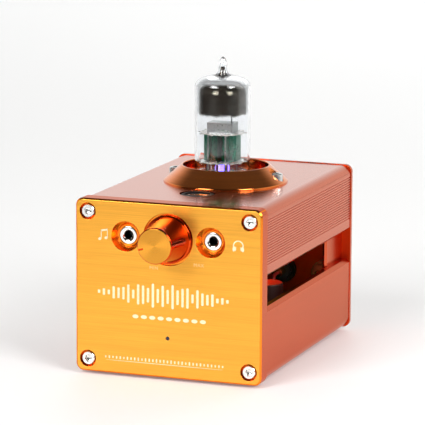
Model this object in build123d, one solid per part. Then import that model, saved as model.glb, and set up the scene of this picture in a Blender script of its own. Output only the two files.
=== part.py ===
"""Small valve headphone amplifier: an anodised aluminium case with one plug-in valve on top.

Millimetres, +Z up, the front faces -Y.  Everything is first built in the case's own frame,
where the front face is y = 0 and the front plate's lower edge is z = 0, and is moved to the
part's frame (origin under the middle of the whole object) when it is exported.
"""
import os
from math import cos, radians, sin, sqrt

from build123d import *

# ---- driving dimensions ------------------------------------------------------------------
CASE_WIDTH = 76.0
CASE_HEIGHT = 68.0
CASE_DEPTH = 112.0
FRONT_THICK = 6.4
REAR_THICK = 2.0
PLATE_CORNER = 3.0
SHELL_INSET = 0.3
SHELL_CORNER = 4.0
WALL = 3.5
INNER_CORNER = 1.5

SLOT_LOW = 28.9
SLOT_HIGH = 40.8
LIP_CHAMFER = 1.4
RIB_LOW = 46.0
RIB_COUNT = 18
RIB_PITCH = 1.0
RIB_WIDTH = 0.45
RIB_DEPTH = 0.35

SCREW_INSET = 5.05
BOSS_RADIUS = 4.0
THREAD_RADIUS = 1.5
FOOT_RADIUS = 5.0
FOOT_PROUD = 1.2

BRIDGE_FRONT = 89.8
BRIDGE_THICK = 1.8
BRIDGE_LOW = 10.6
BRIDGE_HIGH = 57.6
BRIDGE_SCREW_Z = (25.0, 52.0)
BRIDGE_SCREW_LENGTH = 4.4

UPPER_BOARD_Z = 46.0
LOWER_BOARD_Z = 10.9
BOARD_THICK = 1.6
GUIDE_DEPTH = 1.0

COLLAR_X = 2.2
COLLAR_Y = 58.0
COLLAR_RADIUS = 24.7
COLLAR_MOUTH = 17.0
COLLAR_HEIGHT = 6.6
COLLAR_SCREW_X = 21.0
POCKET_FLOOR = 1.2
TUBE_X = 0.6
TUBE_Y = 58.4
TUBE_HOLE = 12.0
TUBE_SEAT = 68.5
TUBE_RADIUS = 11.0
GLASS_WALL = 1.0
GLASS_HEIGHT = 48.6
PIN_CIRCLE = 5.95
PIN_COUNT = 9
MICA_LOW = 75.3
MICA_HIGH = 86.8
MICA_THICK = 0.3
SYSTEM_X = (-3.6, 3.6)

CAPACITOR_X = 2.2
CAPACITOR_Y = 26.2
CAPACITOR_RADIUS = 6.7
CAPACITOR_GAP = 0.3
CAPACITOR_TOP = 67.5

AXIS_Z = 54.1
JACK_X = 17.3
JACK_BORE = 1.8
JACK_BORE_LENGTH = 14.0
JACK_RECESS = 3.0
SLEEVE_RADIUS = 3.5
POT_DEPTH = 12.4
KNOB_OUT = 14.2
KNOB_FACE = 7.0
KNOB_BASE = 9.45
KNOB_SINK = 0.5
SET_SCREW_HEIGHT = 8.0
POINTER_ANGLE = 196.0
LED_Z = 15.6

POST_X = (-27.0, -9.5, 9.5, 27.0)
POST_Z = 22.5
POST_OUT = 17.0
RCA_X = (-24.0, -8.0)
RCA_Z = 46.0
SWITCH_X = 9.0
SWITCH_TILT = 13.0
DC_X = 25.0

# ---- worked out from them ----------------------------------------------------------------
HALF = CASE_WIDTH / 2
MIDDLE_Z = CASE_HEIGHT / 2
SHELL_X = HALF - SHELL_INSET
SHELL_TOP = CASE_HEIGHT - SHELL_INSET
INNER_X = SHELL_X - WALL
INNER_TOP = SHELL_TOP - WALL
INNER_FLOOR = SHELL_INSET + WALL
SHELL_REAR = CASE_DEPTH - REAR_THICK
BRIDGE_SCREW_Y = (BRIDGE_FRONT + 4.5, SHELL_REAR - 4.5)
KNOB_LENGTH = KNOB_OUT + KNOB_SINK
CORNER_X = HALF - SCREW_INSET
CORNER_Z = (SCREW_INSET, CASE_HEIGHT - SCREW_INSET)
UPPER_TOP = UPPER_BOARD_Z + BOARD_THICK
LOWER_TOP = LOWER_BOARD_Z + BOARD_THICK
BOARD_HALF = INNER_X + GUIDE_DEPTH - 0.2
FRAME_SHIFT = Location((0, (KNOB_OUT - CASE_DEPTH - POST_OUT) / 2, FOOT_PROUD))
BASE = (Align.CENTER, Align.CENTER, Align.MIN)

parts = {}


# ---- small helpers -----------------------------------------------------------------------
def box(x0, x1, y0, y1, z0, z1):
    return Location(((x0 + x1) / 2, (y0 + y1) / 2, z0)) * Box(x1 - x0, y1 - y0, z1 - z0, align=BASE)


def post(radius, z0, z1, x=0.0, y=0.0):
    return Location((x, y, z0)) * Cylinder(radius, z1 - z0, align=BASE)


def rod(radius, y0, y1, x=0.0, z=0.0):
    return Location((x, y0, z), (-90, 0, 0)) * Cylinder(radius, y1 - y0, align=BASE)


def funnel(radius0, radius1, y0, y1, x=0.0, z=0.0):
    return Location((x, y0, z), (-90, 0, 0)) * Cone(radius0, radius1, y1 - y0, align=BASE)


def hexagon(flats, height):
    return extrude(RegularPolygon(flats / sqrt(3), 6), height)


def along_case(profile, y0, y1):
    """Run an (x, z) profile along the case from y0 to y1."""
    return Location((0, y1, 0), (90, 0, 0)) * extrude(profile, y1 - y0)


def turned(outline):
    """Turn a closed (radius, height) outline about the Z axis."""
    face = make_face(Plane.XZ * outline)
    return revolve(face, Axis.Z)


def forward(solid, x, y, z):
    """Point a +Z solid out of the front, with its base at (x, y, z)."""
    return Location((x, y, z), (90, 0, 0)) * solid


def rearward(solid, x, y, z):
    """Point a +Z solid out of the rear, with its base at (x, y, z)."""
    return Location((x, y, z), (-90, 0, 0)) * solid


def at(solid, x, y, z):
    return Location((x, y, z)) * solid


def both_sides(solid):
    return [solid, mirror(solid, Plane.YZ)]


def add(name, solids):
    parts[name] = solids if isinstance(solids, list) else [solids]


def cap_screw(length, shank=1.45, head=2.75, head_height=3.0, key=2.5):
    """Socket-head screw standing on z = 0 under its head."""
    body = post(head, 0, head_height) + post(shank, -length, 0)
    body = chamfer(body.edges().filter_by(GeomType.CIRCLE).group_by(Axis.Z)[-1], 0.25)
    return body - at(hexagon(key, head_height), 0, 0, head_height - 1.6)


# ---- case --------------------------------------------------------------------------------
def plate(thick, y0, chamfer_size, front):
    outline = Pos(0, MIDDLE_Z) * RectangleRounded(CASE_WIDTH, CASE_HEIGHT, PLATE_CORNER)
    solid = along_case(outline, y0, y0 + thick)
    outer_face = solid.faces().sort_by(Axis.Y)[0 if front else -1]
    return chamfer(outer_face.edges(), chamfer_size)


def front_plate():
    solid = plate(FRONT_THICK, 0, 0.65, True)
    for x in (-CORNER_X, CORNER_X):
        for z in CORNER_Z:
            solid -= rod(3.3, 0, 3.2, x, z) + rod(1.7, 0, FRONT_THICK, x, z)
    for x in (-JACK_X, JACK_X):
        solid -= funnel(5.9, 4.2, 0, JACK_RECESS, x, AXIS_Z)
        solid -= rod(SLEEVE_RADIUS + 0.1, 0, FRONT_THICK, x, AXIS_Z)
    solid -= rod(KNOB_BASE + 0.7, 0, 1.0, 0, AXIS_Z) + rod(3.55, 0, FRONT_THICK, 0, AXIS_Z)
    solid -= rod(0.75, 0, FRONT_THICK, 0, LED_Z)
    return solid


def rear_plate():
    solid = plate(REAR_THICK, SHELL_REAR, 0.3, False)
    y0, y1 = SHELL_REAR, CASE_DEPTH
    for x in (-CORNER_X, CORNER_X):
        for z in CORNER_Z:
            solid -= rod(1.7, y0, y1, x, z)
    for x in POST_X:
        solid -= rod(3.1, y0, y1, x, POST_Z)
    for x in RCA_X:
        solid -= rod(4.2, y0, y1, x, RCA_Z)
    solid -= rod(3.1, y0, y1, SWITCH_X, RCA_Z)
    solid -= rod(4.05, y0, y1, DC_X, RCA_Z)
    return solid


def case_ring():
    outer = RectangleRounded(2 * SHELL_X, CASE_HEIGHT - 2 * SHELL_INSET, SHELL_CORNER)
    inner = RectangleRounded(2 * INNER_X, INNER_TOP - INNER_FLOOR, INNER_CORNER)
    bosses = Sketch() + [Pos(x, z) * Circle(BOSS_RADIUS) for x in (-CORNER_X, CORNER_X)
                         for z in (-MIDDLE_Z + SCREW_INSET, MIDDLE_Z - SCREW_INSET)]
    bores = Sketch() + [Pos(x, z) * Circle(THREAD_RADIUS) for x in (-CORNER_X, CORNER_X)
                        for z in (-MIDDLE_Z + SCREW_INSET, MIDDLE_Z - SCREW_INSET)]
    return Pos(0, MIDDLE_Z) * ((outer - inner) + (bosses & outer) - bores)


def lip_cut(z, rise):
    """Triangle that bevels the outer corner of a lip at height z, on both sides."""
    corner = [(SHELL_X, z), (SHELL_X - LIP_CHAMFER, z), (SHELL_X, z + rise)]
    right = make_face(Polyline(*corner, close=True))
    return right + mirror(right, Plane.YZ)


def guide_cut(board_z):
    """Grooves in both inner walls that a circuit board slides in."""
    width = 2 * (INNER_X + GUIDE_DEPTH)
    return Pos(0, board_z + BOARD_THICK / 2) * Rectangle(width, BOARD_THICK + 0.2)


def top_shell():
    keep = Pos(0, (SLOT_HIGH + CASE_HEIGHT) / 2) * Rectangle(CASE_WIDTH, CASE_HEIGHT - SLOT_HIGH)
    profile = (case_ring() & keep) - lip_cut(SLOT_HIGH, LIP_CHAMFER) - guide_cut(UPPER_BOARD_Z)
    for i in range(RIB_COUNT):
        groove = Rectangle(2 * RIB_DEPTH, RIB_WIDTH)
        z = RIB_LOW + i * RIB_PITCH
        profile -= Pos(SHELL_X, z) * groove + Pos(-SHELL_X, z) * groove
    solid = along_case(profile, FRONT_THICK, SHELL_REAR)
    solid -= post(TUBE_HOLE, INNER_TOP - 1, SHELL_TOP + 1, TUBE_X, TUBE_Y)
    hole = CAPACITOR_RADIUS + CAPACITOR_GAP
    solid -= post(hole, INNER_TOP - 1, SHELL_TOP + 1, CAPACITOR_X, CAPACITOR_Y)
    for x in collar_screw_places():
        solid -= post(THREAD_RADIUS, INNER_TOP - 1, SHELL_TOP + 1, x, COLLAR_Y)
    return solid - bridge_holes()


def bottom_shell():
    keep = Pos(0, SLOT_LOW / 2) * Rectangle(CASE_WIDTH, SLOT_LOW)
    profile = (case_ring() & keep) - lip_cut(SLOT_LOW, -LIP_CHAMFER) - guide_cut(LOWER_BOARD_Z)
    return along_case(profile, FRONT_THICK, SHELL_REAR) - bridge_holes()


def bridge_screw_places():
    return [(y, z) for y in BRIDGE_SCREW_Y for z in BRIDGE_SCREW_Z]


def bridge_holes():
    inward = INNER_X - BRIDGE_THICK
    hole = Location((inward, 0, 0), (0, 90, 0)) * Cylinder(1.2, BRIDGE_SCREW_LENGTH + 0.2, align=BASE)
    holes = [at(hole, 0, y, z) for y, z in bridge_screw_places()]
    return [side for solid in holes for side in both_sides(solid)]


def side_bridge():
    """Bar inside the right-hand wall that ties the two shells together at the rear."""
    solid = box(INNER_X - BRIDGE_THICK, INNER_X, BRIDGE_FRONT, SHELL_REAR, BRIDGE_LOW, BRIDGE_HIGH)
    return solid - bridge_holes()


def bridge_screws():
    screw = cap_screw(BRIDGE_SCREW_LENGTH, 1.18, 2.2, 1.8, 2.0)
    turned_in = Location((INNER_X - BRIDGE_THICK, 0, 0), (0, -90, 0)) * screw
    placed = [at(turned_in, 0, y, z) for y, z in bridge_screw_places()]
    return [side for solid in placed for side in both_sides(solid)]


def case_screws():
    front = [forward(cap_screw(10), x, 3.2, z) for x in (-CORNER_X, CORNER_X) for z in CORNER_Z]
    button = post(2.85, 0, 1.65) + post(1.45, -8, 0)
    button = fillet(button.edges().filter_by(GeomType.CIRCLE).group_by(Axis.Z)[-1], 1.2)
    button -= at(hexagon(2.0, 2), 0, 0, 0.7)
    rear = [rearward(button, x, CASE_DEPTH, z) for x in (-CORNER_X, CORNER_X) for z in CORNER_Z]
    return front, rear


def rubber_feet():
    foot = post(FOOT_RADIUS, -FOOT_PROUD, SHELL_INSET)
    foot = chamfer(foot.edges().group_by(Axis.Z)[0], 0.4)
    return [at(foot, x, y, 0) for x in (-25, 25) for y in (18, 98)]


# ---- valve collar and valve --------------------------------------------------------------
def collar_screw_places():
    return (COLLAR_X - COLLAR_SCREW_X, COLLAR_X + COLLAR_SCREW_X)


def tube_collar():
    cone = Polyline((COLLAR_MOUTH, 0), (COLLAR_RADIUS, 0), (COLLAR_RADIUS, 0.6),
                    (COLLAR_MOUTH + 0.5, COLLAR_HEIGHT), (COLLAR_MOUTH, COLLAR_HEIGHT), close=True)
    ring = at(turned(cone), COLLAR_X, COLLAR_Y, SHELL_TOP)
    for x in collar_screw_places():
        ring -= post(3.0, SHELL_TOP + POCKET_FLOOR, SHELL_TOP + 9, x, COLLAR_Y)
        ring -= post(1.6, SHELL_TOP - 1, SHELL_TOP + 9, x, COLLAR_Y)
    return ring


def collar_screws():
    return [at(cap_screw(4.1), x, COLLAR_Y, SHELL_TOP + POCKET_FLOOR) for x in collar_screw_places()]


def glass_outline(inset, floor):
    """Outline of the envelope, or of the space inside it, above the valve's seat."""
    radius = TUBE_RADIUS - inset
    side = Polyline((0, floor), (radius - 1.2, floor), (radius, floor + 1.2), (radius, 36.5))
    dome = Bezier((radius, 36.5), (radius, 39.7 - inset), (7.2, 40.6 - inset), (3.4, 41.1 - inset))
    neck = Bezier((3.4, 41.1 - inset), (2.2, 41.4 - inset), (1.9 - inset / 2, 42.4), (1.8 - inset / 2, 44.0))
    end = GLASS_HEIGHT - 2 * inset
    tip = Bezier((1.8 - inset / 2, 44.0), (1.7 - inset / 2, 47.0), (1.2 - inset / 2, end), (0, end))
    return side + dome + neck + tip + Line((0, end), (0, floor))


def tube_envelope():
    solid = turned(glass_outline(0, 0)) - turned(glass_outline(GLASS_WALL, 3.0))
    for x, y in pin_places():
        solid -= post(0.5, -1, 4, x, y)
    return at(solid, TUBE_X, TUBE_Y, TUBE_SEAT)


def pin_places():
    step = 360 / (PIN_COUNT + 1)
    return [(PIN_CIRCLE * sin(radians(step * k)), PIN_CIRCLE * cos(radians(step * k)))
            for k in range(1, PIN_COUNT + 1)]


def tube_pins():
    pins = []
    for x, y in pin_places():
        pin = post(0.5, -7.0, 6.6, x, y)
        pins.append(at(pin, TUBE_X, TUBE_Y, TUBE_SEAT))
    return pins


def mica(z):
    disc = Circle(8.7)
    for k in range(10):
        disc += Rot(0, 0, 36 * k + 12) * (Pos(9.0, 0) * Rectangle(1.5, 0.9))
    disc -= Sketch() + [Pos(x, 0) * Circle(1.0) for x in SYSTEM_X]
    return at(extrude(disc, MICA_THICK), TUBE_X, TUBE_Y, z)


def tube_anodes():
    wall = 0.3
    height = MICA_HIGH - MICA_LOW - MICA_THICK
    shell = RectangleRounded(6.2, 8.6, 1.6) - RectangleRounded(6.2 - 2 * wall, 8.6 - 2 * wall, 1.3)
    fins = Rectangle(wall, 12.4) - Rectangle(6, 8.4)
    anode = extrude(shell + fins, height - 0.8)
    return [at(anode, TUBE_X + x, TUBE_Y, MICA_LOW + MICA_THICK + 0.4) for x in SYSTEM_X]


def tube_shield():
    height = MICA_HIGH - MICA_LOW - MICA_THICK
    screen = box(-0.12, 0.12, -6.2, 6.2, 0, height)
    return at(screen, TUBE_X, TUBE_Y, MICA_LOW + MICA_THICK)


def tube_cathodes():
    return [post(0.9, MICA_LOW - 1.0, MICA_HIGH + 1.2, TUBE_X + x, TUBE_Y) for x in SYSTEM_X]


def grid_posts():
    return [post(0.3, MICA_LOW + MICA_THICK, MICA_HIGH, TUBE_X + x, TUBE_Y + y)
            for x in SYSTEM_X for y in (-2.4, 2.4)]


def getter_shield():
    """Small open metal box on the upper mica."""
    solid = box(-5.3, 5.3, -3.4, 3.4, 0, 3.9) - box(-5.0, 5.0, -3.1, 3.1, -1, 3.6)
    return at(solid, TUBE_X, TUBE_Y, MICA_HIGH + MICA_THICK)


def getter_ring():
    z = MICA_HIGH + MICA_THICK + 3.9
    ring = at(Torus(3.8, 0.45), TUBE_X, TUBE_Y, z + 7.0)
    return ring + post(0.3, z, z + 6.8, TUBE_X + 3.8, TUBE_Y)


def tube_socket():
    solid = post(10.8, 55.4, TUBE_SEAT - 0.3) - post(1.9, 50, 70)
    solid = chamfer(solid.edges().group_by(Axis.Z)[-1], 0.4)
    for x, y in pin_places():
        solid -= post(0.7, 60.9, 70, x, y) + post(0.45, 55, 60.9, x, y)
    solid += [post(1.0, UPPER_TOP, 55.4, x, y) for x in (-8.8, 8.8) for y in (-3, 3)]
    return at(solid, TUBE_X, TUBE_Y, 0)


def socket_contacts():
    return [post(0.45, UPPER_TOP, 60.9, TUBE_X + x, TUBE_Y + y) for x, y in pin_places()]


def tube_led():
    lamp = post(1.5, 58.0, 65.0) + post(1.8, 57.2, 58.0)
    lamp = fillet(lamp.edges().group_by(Axis.Z)[-1], 1.2)
    legs = [box(x - 0.2, x + 0.2, -0.2, 0.2, UPPER_TOP, 57.2) for x in (-1.0, 1.0)]
    return at(lamp + legs, TUBE_X, TUBE_Y, 0)


# ---- front controls ----------------------------------------------------------------------
def jack(x):
    """3.5 mm socket: black body on the upper board, and its bright threaded sleeve."""
    body = box(x - 5.6, x + 5.6, FRONT_THICK + 0.3, FRONT_THICK + 14.6, UPPER_TOP, AXIS_Z + 5.2)
    body -= rod(JACK_BORE, JACK_RECESS - 0.2, JACK_RECESS - 0.2 + JACK_BORE_LENGTH, x, AXIS_Z)
    body -= rod(SLEEVE_RADIUS, FRONT_THICK, FRONT_THICK + 2.3, x, AXIS_Z)
    sleeve = rod(SLEEVE_RADIUS, JACK_RECESS - 0.2, FRONT_THICK + 2.3, x, AXIS_Z)
    sleeve = chamfer(sleeve.edges().group_by(Axis.Y)[0], 0.35)
    sleeve -= rod(JACK_BORE, 0, FRONT_THICK + 5, x, AXIS_Z)
    return body, sleeve


def pot_body():
    solid = box(-8.2, 8.2, FRONT_THICK + 0.6, FRONT_THICK + POT_DEPTH, UPPER_TOP, AXIS_Z + 7.2)
    solid += rod(3.45, -3.2, FRONT_THICK + 0.6, 0, AXIS_Z)
    return solid - rod(3.05, -4, FRONT_THICK + 9, 0, AXIS_Z)


def pot_nut():
    nut = hexagon(10.0, 2.0) - post(3.5, -1, 3)
    return forward(nut, 0, 1.0, AXIS_Z)


def pot_shaft():
    return rod(3.0, 2.0 - KNOB_OUT, FRONT_THICK + 8.6, 0, AXIS_Z)


def volume_knob():
    outline = Polyline((0, 0), (KNOB_BASE, 0), (KNOB_BASE, 0.9), (KNOB_BASE - 0.5, 1.3))
    flare = Bezier((KNOB_BASE - 0.5, 1.3), (7.9, 5.0), (KNOB_FACE + 0.2, 9.0), (KNOB_FACE, KNOB_LENGTH - 0.3))
    crown = Polyline((KNOB_FACE, KNOB_LENGTH - 0.3), (KNOB_FACE - 0.3, KNOB_LENGTH), (0, KNOB_LENGTH), (0, 0))
    knob = turned(outline + flare + crown)
    knob -= post(6.6, -1, 4.3) + post(3.02, -1, KNOB_LENGTH - 2.0)
    knob -= Location((0, 0, SET_SCREW_HEIGHT), (90, 0, 0)) * Cylinder(1.25, 20, align=BASE)
    notch = box(KNOB_FACE - 2.0, KNOB_FACE + 1, -0.35, 0.35, KNOB_LENGTH - 0.5, KNOB_LENGTH + 1)
    knob -= Rot(0, 0, POINTER_ANGLE) * notch
    return forward(knob, 0, KNOB_SINK, AXIS_Z)


def knob_set_screw():
    grub = post(1.22, 3.02, 5.6) - at(hexagon(1.3, 3), 0, 0, 4.4)
    grub = Location((0, 0, SET_SCREW_HEIGHT), (90, 0, 0)) * grub
    return forward(grub, 0, KNOB_SINK, AXIS_Z)


def status_lamp():
    lamp = rod(1.5, FRONT_THICK + 0.2, FRONT_THICK + 4.8, 0, LED_Z)
    lamp += rod(1.8, FRONT_THICK + 4.0, FRONT_THICK + 4.8, 0, LED_Z)
    for x in (-1.0, 1.0):
        lamp += box(x - 0.25, x + 0.25, FRONT_THICK + 4.8, FRONT_THICK + 5.3, LOWER_TOP, LED_Z)
    return lamp, rod(0.72, 0.25, FRONT_THICK, 0, LED_Z)


# ---- circuit boards and what stands on them ----------------------------------------------
def boards():
    front = FRONT_THICK + 0.4
    upper = box(-BOARD_HALF, BOARD_HALF, front, BRIDGE_FRONT - 1, UPPER_BOARD_Z, UPPER_TOP)
    lower = box(-BOARD_HALF, BOARD_HALF, front, BRIDGE_FRONT - 1, LOWER_BOARD_Z, LOWER_TOP)
    tail = INNER_X - BRIDGE_THICK - 2.6
    lower += box(-tail, tail, BRIDGE_FRONT - 1, SHELL_REAR - 1, LOWER_BOARD_Z, LOWER_TOP)
    riser = box(-9, 9, BRIDGE_FRONT - 5, BRIDGE_FRONT - 3.4, LOWER_TOP, UPPER_BOARD_Z)
    return upper, lower, riser


def tall_capacitor():
    """The tall capacitor whose top shows in the round hole in front of the valve."""
    sleeve = post(CAPACITOR_RADIUS, UPPER_TOP + 0.5, CAPACITOR_TOP, CAPACITOR_X, CAPACITOR_Y)
    sleeve = fillet(sleeve.edges().group_by(Axis.Z)[-1], 0.7)
    can = post(CAPACITOR_RADIUS - 0.3, UPPER_TOP, CAPACITOR_TOP - 0.4, CAPACITOR_X, CAPACITOR_Y)
    window = post(CAPACITOR_RADIUS - 1.6, CAPACITOR_TOP - 0.4, CAPACITOR_TOP + 1, CAPACITOR_X, CAPACITOR_Y)
    return sleeve - can - window, can


def standing_capacitor(radius, height, x, y, z):
    can = post(radius, z, z + height, x, y)
    can = fillet(can.edges().group_by(Axis.Z)[-1], 0.5)
    waist = post(radius + 1, z + 1.2, z + 2.0, x, y) - post(radius - 0.35, z + 1.2, z + 2.0, x, y)
    return can - waist


def small_capacitors():
    places = [(x, y) for x in (-22, 22) for y in (46, 60, 74)]
    return [standing_capacitor(4.0, 11.5, x, y, UPPER_TOP) for x, y in places]


def filter_capacitors():
    return [standing_capacitor(6.25, 12.0, x, 73.0, LOWER_TOP) for x in (-15, 15)]


def film_capacitors():
    return [box(x - 3, x + 3, 28, 41, UPPER_TOP, UPPER_TOP + 10) for x in (-18, 18)]


def resistors():
    solids = []
    for x in (-12.5, 12.5):
        for y in (72, 76, 80):
            wire = Location((x, y, UPPER_TOP + 1.6), (0, 90, 0)) * Cylinder(0.3, 10)
            barrel = Location((x, y, UPPER_TOP + 1.6), (0, 90, 0)) * Cylinder(1.2, 6)
            legs = [post(0.3, UPPER_TOP, UPPER_TOP + 1.7, x + end, y) for end in (-4.7, 4.7)]
            solids.append(barrel + wire + legs)
    return solids


def amp_chip():
    return box(-7, 7, 38, 52, LOWER_TOP, LOWER_TOP + 2.0)


def heat_sink():
    sink = box(-15, 15, 33, 57, LOWER_TOP + 2.0, LOWER_TOP + 4.5)
    for i in range(8):
        x = -14.3 + i * 28.6 / 7
        sink += box(x - 0.7, x + 0.7, 33, 57, LOWER_TOP + 4.5, LOWER_TOP + 15)
    return sink


def output_coils():
    solids = []
    for x in (-24, -10, 10, 24):
        core = box(x - 5.5, x + 5.5, 16.5, 27.5, LOWER_TOP, LOWER_TOP + 8)
        solids.append(chamfer(core.edges().filter_by(Axis.Z), 1.5))
    return solids


# ---- rear connectors ---------------------------------------------------------------------
def rca_sockets():
    shells = []
    cores = []
    for x in RCA_X:
        shell = rod(4.15, CASE_DEPTH - 6, CASE_DEPTH + 9, x, RCA_Z)
        shell += rod(5.4, CASE_DEPTH, CASE_DEPTH + 1.6, x, RCA_Z)
        shells.append(shell - rod(3.7, CASE_DEPTH - 7, CASE_DEPTH + 10, x, RCA_Z))
        core = rod(3.7, CASE_DEPTH - 10, CASE_DEPTH + 7.6, x, RCA_Z)
        cores.append(core - rod(1.65, CASE_DEPTH - 3, CASE_DEPTH + 8, x, RCA_Z))
    return shells, cores


def speaker_studs():
    solids = []
    for x in POST_X:
        stud = rod(2.0, CASE_DEPTH - 11, CASE_DEPTH + 12.5, x, POST_Z)
        stud -= at(post(0.8, -3, 3), x, CASE_DEPTH + 4.6, POST_Z)
        solids.append(stud)
    return solids


def speaker_bases():
    solids = []
    for x in POST_X:
        base = rod(5.2, CASE_DEPTH, CASE_DEPTH + 3.4, x, POST_Z)
        base += rod(3.0, SHELL_REAR, CASE_DEPTH, x, POST_Z)
        base += rod(5.2, SHELL_REAR - 2, SHELL_REAR, x, POST_Z)
        base += Location((x, SHELL_REAR - 4.4, POST_Z), (-90, 0, 0)) * hexagon(7.0, 2.4)
        solids.append(base - rod(2.0, CASE_DEPTH - 12, CASE_DEPTH + 5, x, POST_Z))
    return solids


def speaker_cap(x):
    """Screw cap of one speaker terminal, tight against its base."""
    face = CASE_DEPTH + 3.7
    length = POST_OUT - 3.7
    profile = Circle(5.0)
    for k in range(20):
        profile -= Rot(0, 0, 18 * k) * (Pos(5.15, 0) * Circle(0.42))
    cap = extrude(profile, length - 1.5) + at(Cylinder(4.4, 1.5, align=BASE), 0, 0, length - 1.5)
    cap -= post(2.06, -1, length + 1)
    return rearward(cap, x, face, POST_Z)


def speaker_wires():
    solids = []
    for x in POST_X:
        path = FilletPolyline((x, CASE_DEPTH - 11, POST_Z), (x, CASE_DEPTH - 17, POST_Z),
                              (x, CASE_DEPTH - 17, LOWER_TOP), radius=4.0)
        section = Plane(path @ 0, z_dir=path % 0) * Circle(0.8)
        solids.append(sweep(section, path))
    return solids


def dc_inlet():
    y = CASE_DEPTH
    solid = rod(4.0, y - 11, y + 1.5, DC_X, RCA_Z) + rod(5.5, y, y + 1.5, DC_X, RCA_Z)
    solid -= rod(2.8, y - 9, y + 2, DC_X, RCA_Z)
    nut = Location((DC_X, SHELL_REAR - 2.2, RCA_Z), (-90, 0, 0)) * (hexagon(11.0, 2.2) - post(4.0, -1, 3))
    pin = rod(1.05, y - 9, y + 0.5, DC_X, RCA_Z)
    return solid, pin, nut


def power_switch():
    y = CASE_DEPTH
    body = box(SWITCH_X - 3.5, SWITCH_X + 3.5, SHELL_REAR - 12, SHELL_REAR - 1.4, RCA_Z - 6.5, RCA_Z + 6.5)
    body += rod(3.0, SHELL_REAR - 1.4, y + 4.3, SWITCH_X, RCA_Z)
    body -= rod(2.2, SHELL_REAR - 6, y + 6, SWITCH_X, RCA_Z)
    nut = Location((SWITCH_X, y, RCA_Z), (-90, 0, 0)) * (hexagon(8.0, 1.8) - post(3.05, -1, 3))
    lever = funnel(1.0, 1.55, 0, 13.0) + at(Sphere(1.55), 0, 13.0, 0)
    lever += Sphere(1.9)
    lever = Location((SWITCH_X, y + 1.0, RCA_Z), (-SWITCH_TILT, 0, 0)) * lever
    return body, nut, lever


# ---- every piece -------------------------------------------------------------------------
def make_case():
    add("front_plate", front_plate())
    add("rear_plate", rear_plate())
    add("top_shell", top_shell())
    add("bottom_shell", bottom_shell())
    right, left = both_sides(side_bridge())
    add("right_side_bridge", right)
    add("left_side_bridge", left)
    add("bridge_screws", bridge_screws())
    front, rear = case_screws()
    add("front_screws", front)
    add("rear_screws", rear)
    add("rubber_feet", rubber_feet())


def make_tube():
    add("tube_collar", tube_collar())
    add("collar_screws", collar_screws())
    add("tube_envelope", tube_envelope())
    add("tube_pins", tube_pins())
    add("tube_micas", [mica(MICA_LOW), mica(MICA_HIGH)])
    add("tube_anodes", tube_anodes())
    add("tube_shield", tube_shield())
    add("tube_cathodes", tube_cathodes())
    add("grid_posts", grid_posts())
    add("getter_shield", getter_shield())
    add("getter_ring", getter_ring())
    add("tube_socket", tube_socket())
    add("socket_contacts", socket_contacts())
    add("tube_led", tube_led())


def make_controls():
    line_in, line_in_sleeve = jack(-JACK_X)
    headphone, headphone_sleeve = jack(JACK_X)
    add("line_in_socket", line_in)
    add("headphone_socket", headphone)
    add("jack_sleeves", [line_in_sleeve, headphone_sleeve])
    add("pot_body", pot_body())
    add("pot_nut", pot_nut())
    add("pot_shaft", pot_shaft())
    add("volume_knob", volume_knob())
    add("knob_set_screw", knob_set_screw())
    lamp, pipe = status_lamp()
    add("status_led", lamp)
    add("led_light_pipe", pipe)


def make_boards():
    upper, lower, riser = boards()
    add("upper_board", upper)
    add("lower_board", lower)
    add("riser_board", riser)
    sleeve, can = tall_capacitor()
    add("capacitor_sleeve", sleeve)
    add("capacitor_can", can)
    add("small_capacitors", small_capacitors())
    add("filter_capacitors", filter_capacitors())
    add("film_capacitors", film_capacitors())
    add("resistors", resistors())
    add("amp_chip", amp_chip())
    add("heat_sink", heat_sink())
    add("output_coils", output_coils())


def make_rear():
    shells, cores = rca_sockets()
    add("rca_shells", shells)
    add("rca_cores", cores)
    add("speaker_studs", speaker_studs())
    add("speaker_bases", speaker_bases())
    for number, x in enumerate(POST_X, 1):
        add(f"speaker_cap_{number}", speaker_cap(x))
    add("speaker_wires", speaker_wires())
    inlet, pin, inlet_nut = dc_inlet()
    add("dc_inlet", inlet)
    add("dc_pin", pin)
    body, switch_nut, lever = power_switch()
    add("switch_body", body)
    add("switch_lever", lever)
    add("rear_nuts", [inlet_nut, switch_nut])


def export_parts():
    os.makedirs("parts", exist_ok=True)
    for name, solids in parts.items():
        pieces = [piece for solid in solids for piece in solid.solids()]
        placed = [piece.moved(FRAME_SHIFT) for piece in pieces]
        shape = placed[0] if len(placed) == 1 else Compound(children=placed)
        export_step(shape, f"parts/{name}.step")
    print(len(parts), "nodes")


make_case()
make_tube()
make_controls()
make_boards()
make_rear()
export_parts()
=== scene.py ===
import math

import bmesh
import bpy
from mathutils import Matrix, Vector


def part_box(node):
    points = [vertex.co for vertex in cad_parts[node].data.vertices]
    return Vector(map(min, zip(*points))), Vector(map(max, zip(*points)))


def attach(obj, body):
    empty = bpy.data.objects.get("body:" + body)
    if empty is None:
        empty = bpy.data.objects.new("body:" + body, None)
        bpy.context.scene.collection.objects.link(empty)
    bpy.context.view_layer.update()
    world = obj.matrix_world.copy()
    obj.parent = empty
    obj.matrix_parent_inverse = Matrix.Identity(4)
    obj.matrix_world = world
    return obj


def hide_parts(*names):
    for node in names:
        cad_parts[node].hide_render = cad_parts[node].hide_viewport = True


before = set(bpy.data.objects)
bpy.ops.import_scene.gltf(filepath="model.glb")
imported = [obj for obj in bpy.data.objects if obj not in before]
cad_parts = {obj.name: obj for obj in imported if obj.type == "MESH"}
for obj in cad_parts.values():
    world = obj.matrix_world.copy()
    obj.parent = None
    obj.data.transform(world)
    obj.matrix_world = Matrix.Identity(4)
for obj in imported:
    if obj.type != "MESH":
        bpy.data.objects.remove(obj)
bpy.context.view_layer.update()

mm = 0.001
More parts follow.
